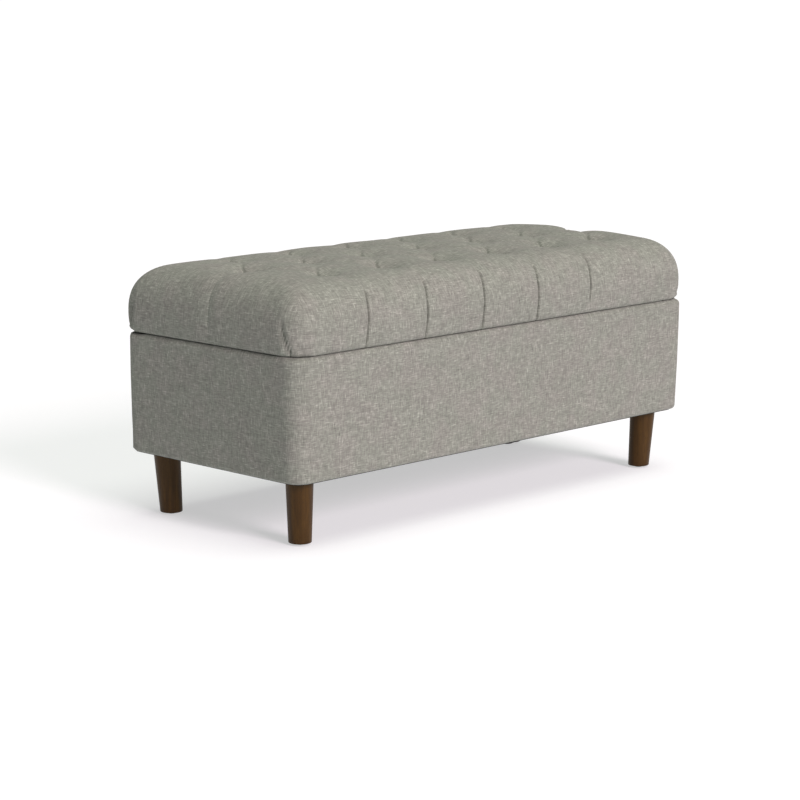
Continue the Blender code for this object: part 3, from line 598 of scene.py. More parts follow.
def cushion_surface(a, b, lid):
    """Plain crowned cushion over cloth coordinates a along X and b along Y.

    Within the core, x = a and y = b. Beyond it the larger overshoot runs down the edge section,
    and the smaller one turns round the corner. The crown adds (1 - (x/half)^p) (1 - (y/half)^2).
    Returns the points, the cloth map of each point for faces that belong to the long sides and
    for those that belong to the ends, and which points belong to the long sides.
    """
    near_a, near_b, run, turn, on_long = past_core(a, b, lid)
    out_x, out_y, total = corner_direction(turn, 1 - lid.corner_radius / lid.shoulder_reach)
    section_run, section_offset, section_height = edge_section(lid)
    offset = np.interp(run, section_run, section_offset)
    z = np.interp(run, section_run, section_height)
    x = near_a + np.sign(a) * offset * out_x
    y = near_b + np.sign(b) * offset * out_y
    dome = np.clip(1 - np.abs(x / HALF_LENGTH) ** lid.crown_power, 0, 1)
    dome = dome * np.clip(1 - (y / HALF_DEPTH) ** 2, 0, 1)
    points = np.stack([x, y, z + lid.crown * dome], -1)
    around = total * offset
    long_map = np.stack([near_a + np.sign(a) * (1 - turn) * around, near_b + np.sign(b) * run], -1)
    end_map = np.stack([near_a + np.sign(a) * run, near_b + np.sign(b) * turn * around], -1)
    inside = (run <= 0)[..., None]
    flat = np.stack([a, b], -1)
    return points, np.where(inside, flat, long_map), np.where(inside, flat, end_map), on_long


def surface_normals(points):
    """Unit normals of a grid of points from the cross product of its two slopes."""
    along_b, along_a = np.gradient(points, axis=(0, 1))
    normal = np.cross(along_a, along_b)
    return normal / np.maximum(np.linalg.norm(normal, axis=-1, keepdims=True), 1e-12)


def tuft_pull(x, y, lid):
    """How far the tufts and the valleys between them draw the top down.

    A tuft is a broad bell exp(-(d/r)^2) with a sharp middle exp(-d/s). A valley between two
    neighbours is a narrow bell across the line that joins them, deeper near its ends. The two are
    joined by a fourth-power mean, so they run into each other without a step.
    """
    middle, front, back = tuft_rows(lid)
    dimple = np.zeros(x.shape)
    for tx, ty in middle + front + back:
        gap = np.hypot(x - tx, y - ty)
        pull = 0.62 * np.exp(-(gap / lid.dimple_radius) ** 2) + 0.38 * np.exp(-gap / lid.dimple_core)
        dimple = np.maximum(dimple, lid.tuft_depth * pull)
    valley = np.zeros(x.shape)
    for tx, ty in middle:
        for ox, oy in front + back:
            if abs(abs(tx - ox) - lid.tuft_pitch / 2) < 0.001:
                gap, along = path_distance(x, y, [(tx, ty), (ox, oy)])
                ends = 0.55 + 0.45 * np.abs(2 * along - 1) ** 1.5
                pull = 0.65 * np.exp(-(gap / lid.valley_width) ** 2) + 0.35 * np.exp(-gap / 0.004)
                valley = np.maximum(valley, lid.valley_depth * ends * pull)
    return (dimple ** 4 + valley ** 4) ** 0.25


CREASES = ((1, 1, 1.0, 1.5), (-1, -1, 0.7, 1.0), (-1, 1, 0.5, 1.0), (1, -1, 0.6, 1.2))


def tuft_creases(x, y, lid):
    """Short curved creases that run out of each tuft towards its neighbours.

    CREASES gives each one's way along X and Y, its share of the depth and its share of the length.
    """
    middle, front, back = tuft_rows(lid)
    chance = np.random.default_rng(lid.crease_seed)
    pull = np.zeros(x.shape)
    t = np.linspace(0, 1, 7)
    for tx, ty in middle + front + back:
        for sx, sy, share, stretch in CREASES:
            length = lid.crease_length * stretch * chance.uniform(0.8, 1.2)
            bow = lid.crease_bow * chance.uniform(0.6, 1.4)
            depth = share * lid.crease_depth * chance.uniform(0.7, 1.1)
            angle = math.atan2(sy * lid.row_pitch, sx * lid.tuft_pitch / 2)
            bend = bow * np.sin(math.pi * t)
            px = tx + length * t * math.cos(angle) - bend * math.sin(angle)
            py = ty + length * t * math.sin(angle) + bend * math.cos(angle)
            gap, along = path_distance(x, y, np.stack([px, py], -1))
            fade = (1 - along ** 2) ** 0.8
            pull = np.maximum(pull, depth * fade * np.exp(-(gap / lid.crease_width) ** 1.4))
    return pull


def side_pleats(a, b, lid):
    """Pleats that fall from the outer tufts over the front and back, and from the end tufts.

    Across its line a pleat is a thin slit exp(-(d/w)^1.5) in a soft hollow exp(-(d/h)^2). It leans
    along +X below its tuft, drifts towards -X as it nears the seam, and fades out at its own length.
    Every distance along it is measured over the cloth from its tuft.
    """
    middle, front, _ = tuft_rows(lid)
    pull = np.zeros(a.shape)
    below = np.abs(b) - lid.row_pitch
    for (tx, _), strength, length in zip(front, lid.pleat_strengths, lid.pleat_lengths):
        firmness = np.where(b < 0, strength, 0.7)
        lean = smooth_step(below, 0.0, 0.06) * (1 - smooth_step(below, 0.09, 0.14))
        stray = smooth_step(below, 0.125, 0.195)
        gap = np.abs(a - tx - lid.pleat_lean * lean + lid.pleat_drift * stray)
        start = below - np.where(b < 0, max(length / 3, 0.09), 0.11)
        slit = smooth_step(start, -0.009, 0.009) * (1 - smooth_step(below, length - 0.02, length))
        slit = slit * np.exp(-(gap / lid.pleat_width) ** 1.5)
        hollow = smooth_step(below, -0.01, 0.03) * (1 - 0.6 * smooth_step(below, 0.05, 0.16))
        hollow = hollow * np.where(b < 0, 1.0, 0.65)
        soft = hollow * lid.pleat_hollow * np.exp(-(gap / lid.pleat_spread) ** 2)
        pull = np.maximum(pull, firmness * (lid.pleat_depth * slit + soft))
    for (tx, ty), sign in ((middle[0], -1), (middle[-1], 1)):
        beyond = sign * (a - tx)
        gap = np.abs(b - ty + lid.end_pleat_drift * smooth_step(beyond, 0.0, 0.2))
        fade = smooth_step(beyond, 0.0, 0.03) * (1 - smooth_step(beyond, 0.13, 0.20))
        shape = 0.5 * np.exp(-gap / 0.0030) + 0.5 * np.exp(-(gap / 0.016) ** 2)
        pull = np.maximum(pull, lid.end_pleat_depth * fade * shape)
    return pull


CORNER_FOLDS = (
    (1.0, 0.0016, [(0.045, 0.394), (0.040, 0.380), (0.032, 0.356), (0.0235, 0.333), (0.0225, 0.3265)]),
    (0.7, 0.0014, [(0.036, 0.372), (0.031, 0.358), (0.0245, 0.338), (0.0215, 0.3265)]),
    (0.7, 0.0016, [(0.0080, 0.347), (0.0090, 0.338), (0.0115, 0.3265)]),
)


def corner_folds(points, lid):
    """Folded cloth at each corner: slanting creases where the end's cloth is tucked under the front's.

    Each fold is a path of (distance from the long side, height) that deepens as it nears the seam.
    """
    pull = np.zeros(points.shape[:-1])
    from_side = HALF_DEPTH - np.abs(points[..., 1])
    on_end = smooth_step(np.abs(points[..., 0]), HALF_LENGTH - 0.045, HALF_LENGTH - 0.020)
    for share, width, path in CORNER_FOLDS:
        gap, along = path_distance(from_side, points[..., 2], path)
        fold = 0.7 * np.exp(-(gap / width) ** 1.3) + 0.3 * np.exp(-(gap / 0.006) ** 2)
        pull = np.maximum(pull, share * smooth_step(along, 0.0, 0.4) * fold)
    return lid.corner_fold_depth * on_end * pull


ROLL_RINGS = 8


def roll_rings(lid, board_inset):
    """Rings under the cushion's side as (inset, height): the bottom roll, the strip turned under the
    board, and the way back up inside round the board's edge."""
    angle = np.linspace(0, math.pi / 2, ROLL_RINGS + 1)[1:]
    inset = lid.draw_in + lid.roll_radius * (1 - np.cos(angle))
    height = LID_BOTTOM_Z + lid.roll_radius * (1 - np.sin(angle))
    board_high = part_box("lid_board")[1]
    hem = LID_BOTTOM_Z + HEM_RISE
    levels = (LID_BOTTOM_Z, LID_BOTTOM_Z, LID_BOTTOM_Z + 0.0003, hem)
    inside = [(board_inset, hem), (board_inset, board_high.z + 0.0004)]
    return list(zip(inset, height)) + list(zip(TURNED_UNDER, levels)) + inside


def lid_grid(lid, coarse, fine):
    """Cloth coordinates of the cushion's grid, closest where the tufts and pleats are."""
    run = edge_section(lid)[0][-1]
    reach_a = HALF_LENGTH - lid.shoulder_reach + run
    reach_b = HALF_DEPTH - lid.shoulder_reach + run
    middle, front, _ = tuft_rows(lid)
    folds = HALF_DEPTH - lid.shoulder_reach + 0.10
    pleats = [x for x, _ in front]
    a = graded(-reach_a, reach_a, coarse, [
        (pleats, 0.6 * fine, 0.006), (pleats + [x for x, _ in middle], 1.6 * fine, 0.030)])
    b = graded(-reach_b, reach_b, coarse, [
        ([-lid.row_pitch, 0.0, lid.row_pitch], 1.4 * fine, 0.034), ([-folds, folds], 1.4 * fine, 0.034)])
    return np.meshgrid(a, b)


def rim_loop(rows, columns):
    """Indices of a grid's outer points, once round."""
    index = np.arange(rows * columns).reshape(rows, columns)
    return np.concatenate([index[0, :-1], index[:-1, -1], index[-1, :0:-1], index[:0:-1, 0]])


def tufted_points(a, b, lid, depth=0.0):
    """Points of the tufted cushion, optionally a depth inside its cover and without its creases."""
    points, long_map, end_map, on_long = cushion_surface(a, b, lid)
    x, y = points[..., 0], points[..., 1]
    normal = surface_normals(points)
    top = smooth_step(points[..., 2], lid.side_top, lid.side_top + 0.05)
    pull = tuft_pull(x, y, lid) * top
    if depth:
        soft = side_pleats(a, b, lid) * lid.pleat_hollow / (lid.pleat_hollow + lid.pleat_depth)
        pull = pull + soft + depth
    else:
        pull = pull + tuft_creases(x, y, lid) * top
        pull = (pull ** 3 + side_pleats(a, b, lid) ** 3) ** (1 / 3)
        pull = pull + corner_folds(points, lid)
        pull = pull + lid.unevenness * waves(x + 0.7 * points[..., 2], y, 0.16, 5)
    return points - normal * pull[..., None], long_map, end_map, on_long


def make_lid_cover(lid):
    """Tufted, pleated cover of the cushion, closed round the lid board."""
    a, b = lid_grid(lid, lid.grid_coarse, lid.grid_fine)
    rows, columns = a.shape
    points, long_map, end_map, on_long = tufted_points(a, b, lid)
    loop = rim_loop(rows, columns)
    rim_a, rim_b = a.ravel()[loop], b.ravel()[loop]
    near_a, near_b, _, turn, rim_long = past_core(rim_a, rim_b, lid)
    out_x, out_y, _ = corner_direction(turn, 1 - lid.corner_radius / lid.shoulder_reach)
    board_inset = HALF_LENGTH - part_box("lid_board")[1].x - FIT_GAP
    rings, ring_maps = [], []
    flat_long, flat_end = long_map.reshape(-1, 2), end_map.reshape(-1, 2)
    rim_map = np.where(rim_long[:, None], flat_long[loop], flat_end[loop])
    onward = np.stack([np.where(rim_long, 0, np.sign(rim_a)), np.where(rim_long, np.sign(rim_b), 0)], -1)
    plain = cushion_surface(a, b, lid)[0]
    dent = (points - plain).reshape(-1, 3)[loop]
    span = lid.roll_radius * math.pi / 2
    profile = roll_rings(lid, board_inset)
    for number, (inset, height) in enumerate(profile):
        offset = lid.shoulder_reach - inset
        x = near_a + np.sign(rim_a) * offset * out_x
        y = near_b + np.sign(rim_b) * offset * out_y
        fade = max(0.0, 1 - (number + 1) / (ROLL_RINGS + 1))
        ring = np.stack([x, y, np.full(x.shape, height)], -1) + dent * fade
        rings.append(ring)
        ring_maps.append(rim_map + onward * span * (number + 1) / ROLL_RINGS)
    count = len(loop)
    all_points = np.concatenate([points.reshape(-1, 3)] + rings)
    top_faces = grid_faces(rows, columns)
    below = rows * columns + np.arange(count)
    first = band_faces(loop, below)
    skirt = grid_faces(len(rings), count, wrap_columns=True) + rows * columns
    base = below + (len(rings) - 1) * count
    long_face = on_long.ravel()[top_faces].mean(1) > 0.5
    top_uv = np.where(long_face[:, None, None], flat_long[top_faces], flat_end[top_faces])
    side_map = np.concatenate([np.zeros((rows * columns, 2))] + ring_maps)
    side_map[loop] = rim_map
    faces = top_faces.tolist() + first.tolist() + skirt.tolist() + [base.tolist()]
    uv = np.concatenate([top_uv.reshape(-1, 2), side_map[first].reshape(-1, 2),
                         side_map[skirt].reshape(-1, 2), side_map[base]])
    cover = new_piece("lid_cover_tufted", all_points, faces, "tweed", uv)
    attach(cover, "lid")
    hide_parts("lid_cover")


def make_lid_foam(lid):
    """Foam block under the cover, drawn down by the same tufts."""
    a, b = lid_grid(lid, *FOAM_GRID)
    rows, columns = a.shape
    points, _, _, _ = tufted_points(a, b, lid, depth=FOAM_DEPTH)
    floor_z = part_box("lid_foam")[0].z
    points[..., 2] = np.maximum(points[..., 2], floor_z + 0.0005)
    loop = rim_loop(rows, columns)
    rim = points.reshape(-1, 3)[loop].copy()
    rim[:, 2] = floor_z
    foot = rows * columns + np.arange(len(loop))
    faces = grid_faces(rows, columns).tolist() + band_faces(loop, foot).tolist() + [foot.tolist()]
    foam = new_piece("lid_foam_tufted", np.concatenate([points.reshape(-1, 3), rim]), faces, "foam")
    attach(foam, "lid")
    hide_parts("lid_foam")


# Box, lining and dust cloth ----------------------------------------------------------------------

def round_ring(half_x, half_y, radius, along_x, along_y, around):
    """Closed outline of a rounded rectangle as points, outward directions and distance round it.

    Each side is spaced evenly and each corner is an even arc, so rings of any size match.
    """
    points, outward = [], []
    centre_x, centre_y = half_x - radius, half_y - radius
    sides = (((1, -1), (1, 1), along_y, 0), ((1, 1), (-1, 1), along_x, 90),
             ((-1, 1), (-1, -1), along_y, 180), ((-1, -1), (1, -1), along_x, 270))
    for (x0, y0), (x1, y1), count, facing in sides:
        face = math.radians(facing)
        out = np.array([math.cos(face), math.sin(face)])
        t = np.linspace(0, 1, count, endpoint=False)[:, None]
        start = np.array([x0 * centre_x, y0 * centre_y])
        end = np.array([x1 * centre_x, y1 * centre_y])
        points.append(start + (end - start) * t + out * radius)
        outward.append(np.repeat(out[None], count, 0))
        angle = face + np.linspace(0, math.pi / 2, around, endpoint=False)
        arc = np.stack([np.cos(angle), np.sin(angle)], -1)
        points.append(end + arc * radius)
        outward.append(arc)
    points, outward = np.concatenate(points), np.concatenate(outward)
    step = np.linalg.norm(np.roll(points, -1, 0) - points, axis=1)
    return points, outward, np.concatenate([[0], np.cumsum(step)])


def ring_stack(name, rings, profile, along, slot, sharp=180, skipped=None):
    """Piece through matching level rings, the last joined to the first, with cloth coordinates.

    The coordinates run along each ring and along the profile, whose rows are (inset, height). The
    band of faces after the skipped ring is left out, where the rings close to a line.
    """
    count = len(rings[0])
    step = np.diff(np.array(profile), axis=0)
    profile_length = np.concatenate([[0], np.cumsum(np.hypot(step[:, 0], step[:, 1]))])
    faces = grid_faces(len(rings), count, wrap_rows=True, wrap_columns=True)
    if skipped is not None:
        faces = faces[faces[:, 0] // count != skipped]
    row = faces // count
    column = faces % count
    wrapped = (column.max(1) == count - 1) & (column.min(1) == 0)
    u = along[column]
    u[wrapped] = np.where(column[wrapped] == 0, along[-1], u[wrapped])
    v = profile_length[row]
    uv = np.stack([u, v], -1).reshape(-1, 2)
    return new_piece(name, np.concatenate(rings), faces.tolist(), slot, uv, sharp)


def make_body_cover(body):
    """Padded cover of the box: a slightly tapered hoop, rolled at the rim and under the bottom edge.

    The back is drawn in by an even amount and the back corners by more, least at the foot. The rim
    stands up a little along the front and the ends.
    """
    half_x, half_y = BOX_HIGH.x, BOX_HIGH.y
    roll, taper = body.roll_radius, body.taper
    angle = np.linspace(0, math.pi / 2, 10)
    fall = np.linspace(0, 1, 46)[1:-1]
    top, bottom = BOX_TOP_Z - roll, BOX_BOTTOM_Z + roll
    lining_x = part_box("storage_lining")[1].x
    reach = half_x - lining_x + 0.0015
    hem = half_x - lining_x - FIT_GAP
    panel = half_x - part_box("right_end_panel")[1].x - FIT_GAP
    panel_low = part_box("front_panel")[0].z - FIT_GAP
    profile = [(reach, BOX_TOP_Z)]
    profile += [(inset, BOX_TOP_Z) for inset in RIM_INSETS]
    profile += [(roll * (1 - math.sin(t)), top + roll * math.cos(t)) for t in angle]
    profile += [(taper * t ** 1.8, top + (bottom - top) * t) for t in fall]
    profile += [(taper + roll * (1 - math.cos(t)), bottom - roll * math.sin(t)) for t in angle]
    outside = len(profile)
    profile += [(hem, BOX_BOTTOM_Z), (hem, panel_low), (panel, panel_low),
                (panel, BOX_TOP_Z - TWEED_SKIN), (reach, BOX_TOP_Z - TWEED_SKIN)]
    rings = []
    for number, (inset, z) in enumerate(profile):
        radius = body.corner_radius - inset if inset < 0.018 else 0.001
        points, outward, _ = round_ring(half_x - inset, half_y - inset, radius, *BODY_RING)
        height = np.full(len(points), z)
        if number < outside:
            share = (BOX_TOP_Z - z) / (BOX_TOP_Z - BOX_BOTTOM_Z)
            sink = waves(points[:, 0] - points[:, 1], height, 0.22, 11) * math.sin(math.pi * share)
            points = points - outward * np.abs(body.unevenness * sink)[:, None]
            drawn = 1 - smooth_step(inset, *DRAWN_WITHIN)
            points[:, 1] -= body.back_inset * drawn * np.clip(points[:, 1] / half_y, 0, 1)
            corner = np.abs(outward).sum(1) - 1
            eased = body.back_ease * (1 - 0.8 * share) * drawn
            points -= outward * (eased * corner * (outward[:, 1] > 0))[:, None]
            place = body.rim_place + body.rim_shift * corner
            plump = np.exp(-((inset - place) / body.rim_width) ** 2) * max(0, 1 - share / 0.12)
            height = height + body.rim_rise * plump * (1 - smooth_step(points[:, 1], *RIM_ENDS_AT_Y))
        rings.append(np.column_stack([points, height]))
    _, _, along = round_ring(half_x, half_y, body.corner_radius, *BODY_RING)
    cover = ring_stack("body_cover_padded", rings, profile, along, "tweed")
    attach(cover, "base")
    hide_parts("body_cover")


def make_storage_lining():
    """Cloth tray in the box: walls that belly a little, a rounded foot and a flat floor."""
    low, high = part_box("storage_lining")
    fillet, skin = LINING_FILLET, LINING_SKIN
    wall = [(LINING_GAP + LINING_BELLY * math.sin(math.pi * t) ** 2,
             high.z + (low.z + skin + fillet - high.z) * t) for t in np.linspace(0, 1, 30)]
    angle = np.linspace(0, math.pi / 2, 8)[1:]
    foot = [(LINING_GAP + fillet * (1 - math.cos(t)), low.z + skin + fillet * (1 - math.sin(t)))
            for t in angle]
    floor = [(inset, low.z + skin) for inset in (0.03, 0.08, 0.14, 0.18, high.y)]
    inner = [(inset + skin, z) for inset, z in wall] + [(inset + skin, z) for inset, z in foot]
    inner += floor
    outer = [(inset, z - skin) for inset, z in floor[::-1]]
    outer += [(inset, z - skin) for inset, z in foot[::-1]] + list(wall[::-1])
    profile = inner + outer
    rings = []
    for inset, z in profile:
        radius = min(LINING_CORNER, high.y - inset)
        points, _, _ = round_ring(high.x - inset, high.y - inset, radius, *LINING_RING)
        rings.append(np.column_stack([points, np.full(len(points), z)]))
    _, _, along = round_ring(high.x, high.y, LINING_CORNER, *LINING_RING)
    lining = ring_stack("storage_lining_cloth", rings, profile, along, "lining_cloth", 50, len(inner) - 1)
    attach(lining, "base")
    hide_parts("storage_lining")


def sheet_grid(half_x, half_y, radius):
    """Flat grid drawn into a rounded rectangle: each line's ends follow the corner arcs."""
    x = np.linspace(-half_x, half_x, math.ceil(2 * half_x / SHEET_STEP) + 1)
    y = np.linspace(-half_y, half_y, math.ceil(2 * half_y / SHEET_STEP) + 1)
    x, y = np.meshgrid(x, y)
    into = np.maximum(np.abs(y) - (half_y - radius), 0)
    width = half_x - radius + np.sqrt(np.maximum(radius ** 2 - into ** 2, 0))
    return x * width / half_x, y


def cloth_slab(name, x, y, low, high, slot):
    """Thin closed cloth between two height fields over a grid."""
    rows, columns = x.shape
    count = rows * columns
    top = np.stack([x, y, high], -1).reshape(-1, 3)
    bottom = np.stack([x, y, low], -1).reshape(-1, 3)
    faces = grid_faces(rows, columns)
    loop = rim_loop(rows, columns)
    every = np.concatenate([faces, faces + count, band_faces(loop, loop + count)])
    both = np.concatenate([top, bottom])
    uv = both[every][..., :2].reshape(-1, 2)
    return new_piece(name, both, every.tolist(), slot, uv, 60)


def make_dust_cloth(body):
    """Black cloth stretched under the box, sagging a little, with a loose tuck at the front edge."""
    low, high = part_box("dust_cover")
    x, y = sheet_grid(high.x, high.y, DUST_CLOTH_CORNER)
    edge = np.minimum(high.x - np.abs(x), high.y - np.abs(y))
    sag = body.cloth_sag * smooth_step(edge, 0.02, 0.12) * (0.8 + 0.2 * waves(x, y, 0.2, 3))
    legs = np.ones(x.shape)
    for end, side in CORNERS:
        lx, ly, _ = leg_place(end, side)
        legs = legs * smooth_step(np.hypot(x - lx, y - ly), 0.03, 0.08)
    tuck_x, tuck_y = body.tuck_x, low.y + TUCK_IN
    across = np.exp(-((x - tuck_x) / TUCK_HALF_WIDTH) ** 2)
    tuck = body.tuck_drop * across * np.exp(-((y - tuck_y) / TUCK_HALF_DEPTH) ** 2)
    drop = sag * legs + tuck
    cloth = cloth_slab("dust_cover_cloth", x, y, low.z + 0.0002 - drop, high.z - drop, "black_cloth")
    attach(cloth, "base")
    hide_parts("dust_cover")


def make_lid_liner():
    """Lining cloth under the lid board, with a folded hem all round."""
    low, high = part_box("lid_liner")
    x, y = sheet_grid(high.x, high.y, LID_LINER_CORNER)
    edge = np.minimum(high.x - np.abs(x), high.y - np.abs(y))
    hem = LINER_HEM * (1 - smooth_step(edge, *LINER_HEM_PLACE))
    ripple = 0.00012 * waves(x, y, 0.09, 8)
    under = low.z + 0.0004 - hem + ripple
    liner = cloth_slab("lid_liner_cloth", x, y, under, np.full(x.shape, high.z), "lining_cloth")
    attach(liner, "lid")
    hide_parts("lid_liner")


# Legs and hardware -------------------------------------------------------------------------------

def leg_place(end, side):
    """Centre of a leg's top and its lean, from the CAD leg's and its glide's boxes."""
    low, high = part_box(end + "_" + side + "_leg")
    glide_low, glide_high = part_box(end + "_" + side + "_leg_glide")
    foot = (glide_low + glide_high) / 2
    top_x = high.x - LEG_TOP_RADIUS if side == "right" else low.x + LEG_TOP_RADIUS
    top_y = high.y - LEG_TOP_RADIUS if end == "back" else low.y + LEG_TOP_RADIUS
    lean = Vector((top_x - foot.x, top_y - foot.y)) / high.z
    return top_x, top_y, lean


def turned_rings(profile, around):
    """Points of a turned solid: (radius, height) rows swept round in even steps, x = r cos, y = r sin."""
    radius, height = np.asarray(profile, float).T
    angle = np.linspace(0, 2 * math.pi, around, endpoint=False)
    ring = np.stack([np.cos(angle), np.sin(angle)], -1)
    points = radius[:, None, None] * ring[None]
    level = np.broadcast_to(height[:, None, None], points.shape[:2] + (1,))
    return np.concatenate([points, level], -1)


def turned_piece(name, points, slot):
    """Piece through the rings of a turned solid, with its edges kept sharp."""
    faces = grid_faces(points.shape[0], points.shape[1], wrap_columns=True)
    return new_piece(name, points, faces.tolist(), slot, sharp=40)


def make_leg(end, side, wood):
    """Tapered leg with eased edges, round along its leaning axis, bored for its bolt."""
    name = end + "_" + side + "_leg"
    low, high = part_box(name)
    top_x, top_y, lean = leg_place(end, side)
    ease = wood.leg_edge
    height = high.z - low.z
    narrowing = LEG_FOOT_RADIUS - LEG_TOP_RADIUS
    angle = np.linspace(0, math.pi / 2, 6)
    profile = [(0, -BOLT_BORE_DEPTH), (BOLT_BORE_RADIUS, -BOLT_BORE_DEPTH), (BOLT_BORE_RADIUS, 0)]
    profile += [(LEG_TOP_RADIUS - ease * (1 - math.sin(t)), -ease * (1 - math.cos(t))) for t in angle]
    span = np.linspace(0, 1, 24)[1:-1]
    profile += [(LEG_TOP_RADIUS + narrowing * t, -ease - (height - 2 * ease) * t) for t in span]
    profile += [(LEG_FOOT_RADIUS - ease * (1 - math.cos(t)), -height + ease * (1 - math.sin(t)))
                for t in angle]
    profile += [(0, -height)]
    points = turned_rings(profile, LEG_STEPS)
    points[..., 0] += top_x + lean[0] * points[..., 2]
    points[..., 1] += top_y + lean[1] * points[..., 2]
    points[..., 2] += high.z
    leg = turned_piece(name + "_turned", points, "walnut")
    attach(leg, "base")
    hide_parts(name)


def make_glide(end, side):
    """Nail-on glide: a shallow dished button under the foot."""
    name = end + "_" + side + "_leg_glide"
    low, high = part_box(name)
    centre = (low + high) / 2
    radius = (high.x - low.x) / 2
    thick = high.z
    profile = [(0, thick), (radius * 0.92, thick), (radius, thick * 0.8), (radius, thick * 0.45),
               (radius * 0.93, thick * 0.15), (radius * 0.80, 0), (radius * 0.3, 0),
               (radius * 0.22, thick * 0.12), (0, thick * 0.16)]
    points = turned_rings(profile, SMALL_STEPS)
    points[..., 0] += centre.x
    points[..., 1] += centre.y
    glide = turned_piece(name + "_button", points, "dark_plastic")
    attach(glide, "base")
    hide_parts(name)


def screw_points(radius, crown, length):
    """Cross-recessed screw along Z with its head's face at height 0 and its shank below.

    The head is a shallow dome, crown * (1 - (r/radius)^2), less a cross-shaped recess whose two
    arms are each a quarter of the head wide and fade out at six tenths of its radius.
    """
    steps = np.linspace(0, 1, 12)
    angle = np.linspace(0, 2 * math.pi, SMALL_STEPS, endpoint=False)
    r = radius * steps[:, None] * np.ones_like(angle)[None]
    x, y = r * np.cos(angle), r * np.sin(angle)
    arm = np.minimum(np.abs(x), np.abs(y)) / radius
    recess = (1 - smooth_step(arm, 0.08, 0.16)) * (1 - smooth_step(r / radius, 0.45, 0.62))
    z = crown * (1 - (r / radius) ** 2) - 0.5 * radius * recess
    head = np.stack([x, y, z], -1)
    shank = turned_rings([(radius, -0.0004), (radius * 0.5, -0.0009), (radius * 0.5, -length),
                          (0, -length - radius * 0.5)], SMALL_STEPS)
    return np.concatenate([head, shank])


def screw_set(name, body, screws):
    """All the screws of one body as one piece: (place, outward axis, radius, crown, length) each."""
    every_point, every_face = [], []
    count = 0
    for place, axis, radius, crown, length in screws:
        points = screw_points(radius, crown, length)
        faces = grid_faces(points.shape[0], points.shape[1], wrap_columns=True)
        turn = Vector((0, 0, 1)).rotation_difference(Vector(axis)).to_matrix()
        points = points.reshape(-1, 3) @ np.array(turn).T + np.array(place)
        every_point.append(points)
        every_face.append(faces + count)
        count += len(points)
    piece = new_piece(name, np.concatenate(every_point), np.concatenate(every_face).tolist(),
                      "zinc_steel", sharp=35)
    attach(piece, body)


def make_screws(trim):
    """Countersunk hinge and stay screws on the box and on the lid."""
    flush = (trim.screw_radius, 0.0, FLUSH_SCREW_LENGTH)
    domed = tuple(BRACKET_SCREW.values())
    box_screws, lid_screws = [], []
    for side in ("left", "right"):
        low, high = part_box(side + "_hinge_base_leaf")
        middle = (low.x + high.x) / 2
        row = low.y + HINGE_SCREW_ROW
        seam = (low.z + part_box(side + "_hinge_lid_leaf")[1].z) / 2
        for along in HINGE_SCREW_PLACES:
            box_screws.append(((middle + along, row, seam - FIT_GAP), (0, 0, 1), *flush))
            lid_screws.append(((middle + along, row, seam + FIT_GAP), (0, 0, -1), *flush))
        plate_low, plate_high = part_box(side + "_stay_base_plate")
        sign = SIDE_SIGN[side]
        wall = plate_high.x if side == "right" else -plate_low.x
        face = sign * (wall - STAY_THICKNESS)
        centre = (plate_low + plate_high) / 2
        for up in PLATE_SCREW_PLACES:
            place = (face + sign * SCREW_SHIFT, centre.y, centre.z + up)
            box_screws.append((place, (-sign, 0, 0), *flush))
        foot_low, foot_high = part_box(side + "_stay_lid_bracket")
        inner = foot_low.x if side == "right" else -foot_high.x
        middle_x = sign * (inner + BRACKET_SCREW_IN)
        middle_y = (foot_low.y + foot_high.y) / 2
        for across in BRACKET_SCREW_PLACES:
            place = (middle_x, middle_y + across, foot_high.z - STAY_THICKNESS - SCREW_SHIFT)
            lid_screws.append((place, (0, 0, -1), *domed))
    screw_set("box_screws", "base", box_screws)
    screw_set("lid_screws", "lid", lid_screws)


def finish_cad_nodes():
    """Give every CAD node the finish of its slot."""
    slots = {part["node"]: part["material_slot"] for part in frame["record"]["subparts"]}
    for name, obj in frame["nodes"].items():
        obj.data.materials.clear()
        obj.data.materials.append(FINISHES[slots[name]])


# Stage -------------------------------------------------------------------------------------------

def make_floor(stage):
    """Wide level floor just under the glides."""
    half = stage.floor_size / 2
    points = [(x * half, y * half, FLOOR_Z) for x, y in ((-1, -1), (1, -1), (1, 1), (-1, 1))]
    floor = new_piece("studio_floor", points, [(0, 1, 2, 3)], "tweed", finish=floor_finish(stage))


def make_light(name, stage_color, strength, toward, angle):
    """Broad distant lamp that shines along a direction."""
    lamp = bpy.data.lights.new(name, "SUN")
    lamp.energy = strength
    lamp.color = stage_color
    lamp.angle = angle
    obj = bpy.data.objects.new(name, lamp)
    obj.rotation_euler = Vector(toward).to_track_quat("-Z", "Y").to_euler()
    bpy.context.scene.collection.objects.link(obj)


def make_world(stage):
    """Even pale surroundings."""
    world = bpy.data.worlds.new("studio")
    world.use_nodes = True
    world.node_tree.nodes["Background"].inputs[0].default_value = rgba(stage.sky)
    world.node_tree.nodes["Background"].inputs[1].default_value = stage.sky_strength
    bpy.context.scene.world = world


def make_camera(stage):
    """Long lens looking slightly down at the front left corner."""
    camera = bpy.data.cameras.new("bench_camera")
    camera.lens = stage.lens
    camera.sensor_width = 36.0
    camera.clip_end = 200.0
    obj = bpy.data.objects.new("bench_camera", camera)
    obj.location = stage.camera_place
    obj.rotation_euler = (math.pi / 2 - stage.camera_elevation, 0.0, stage.camera_azimuth)
    bpy.context.scene.collection.objects.link(obj)
    bpy.context.scene.camera = obj


# Settings ----------------------------------------------------------------------------------------

def length_setting(name, description, default):
    """Setting in metres."""
    return bpy.props.FloatProperty(name=name, description=description, default=default,
                                   unit="LENGTH", precision=5)


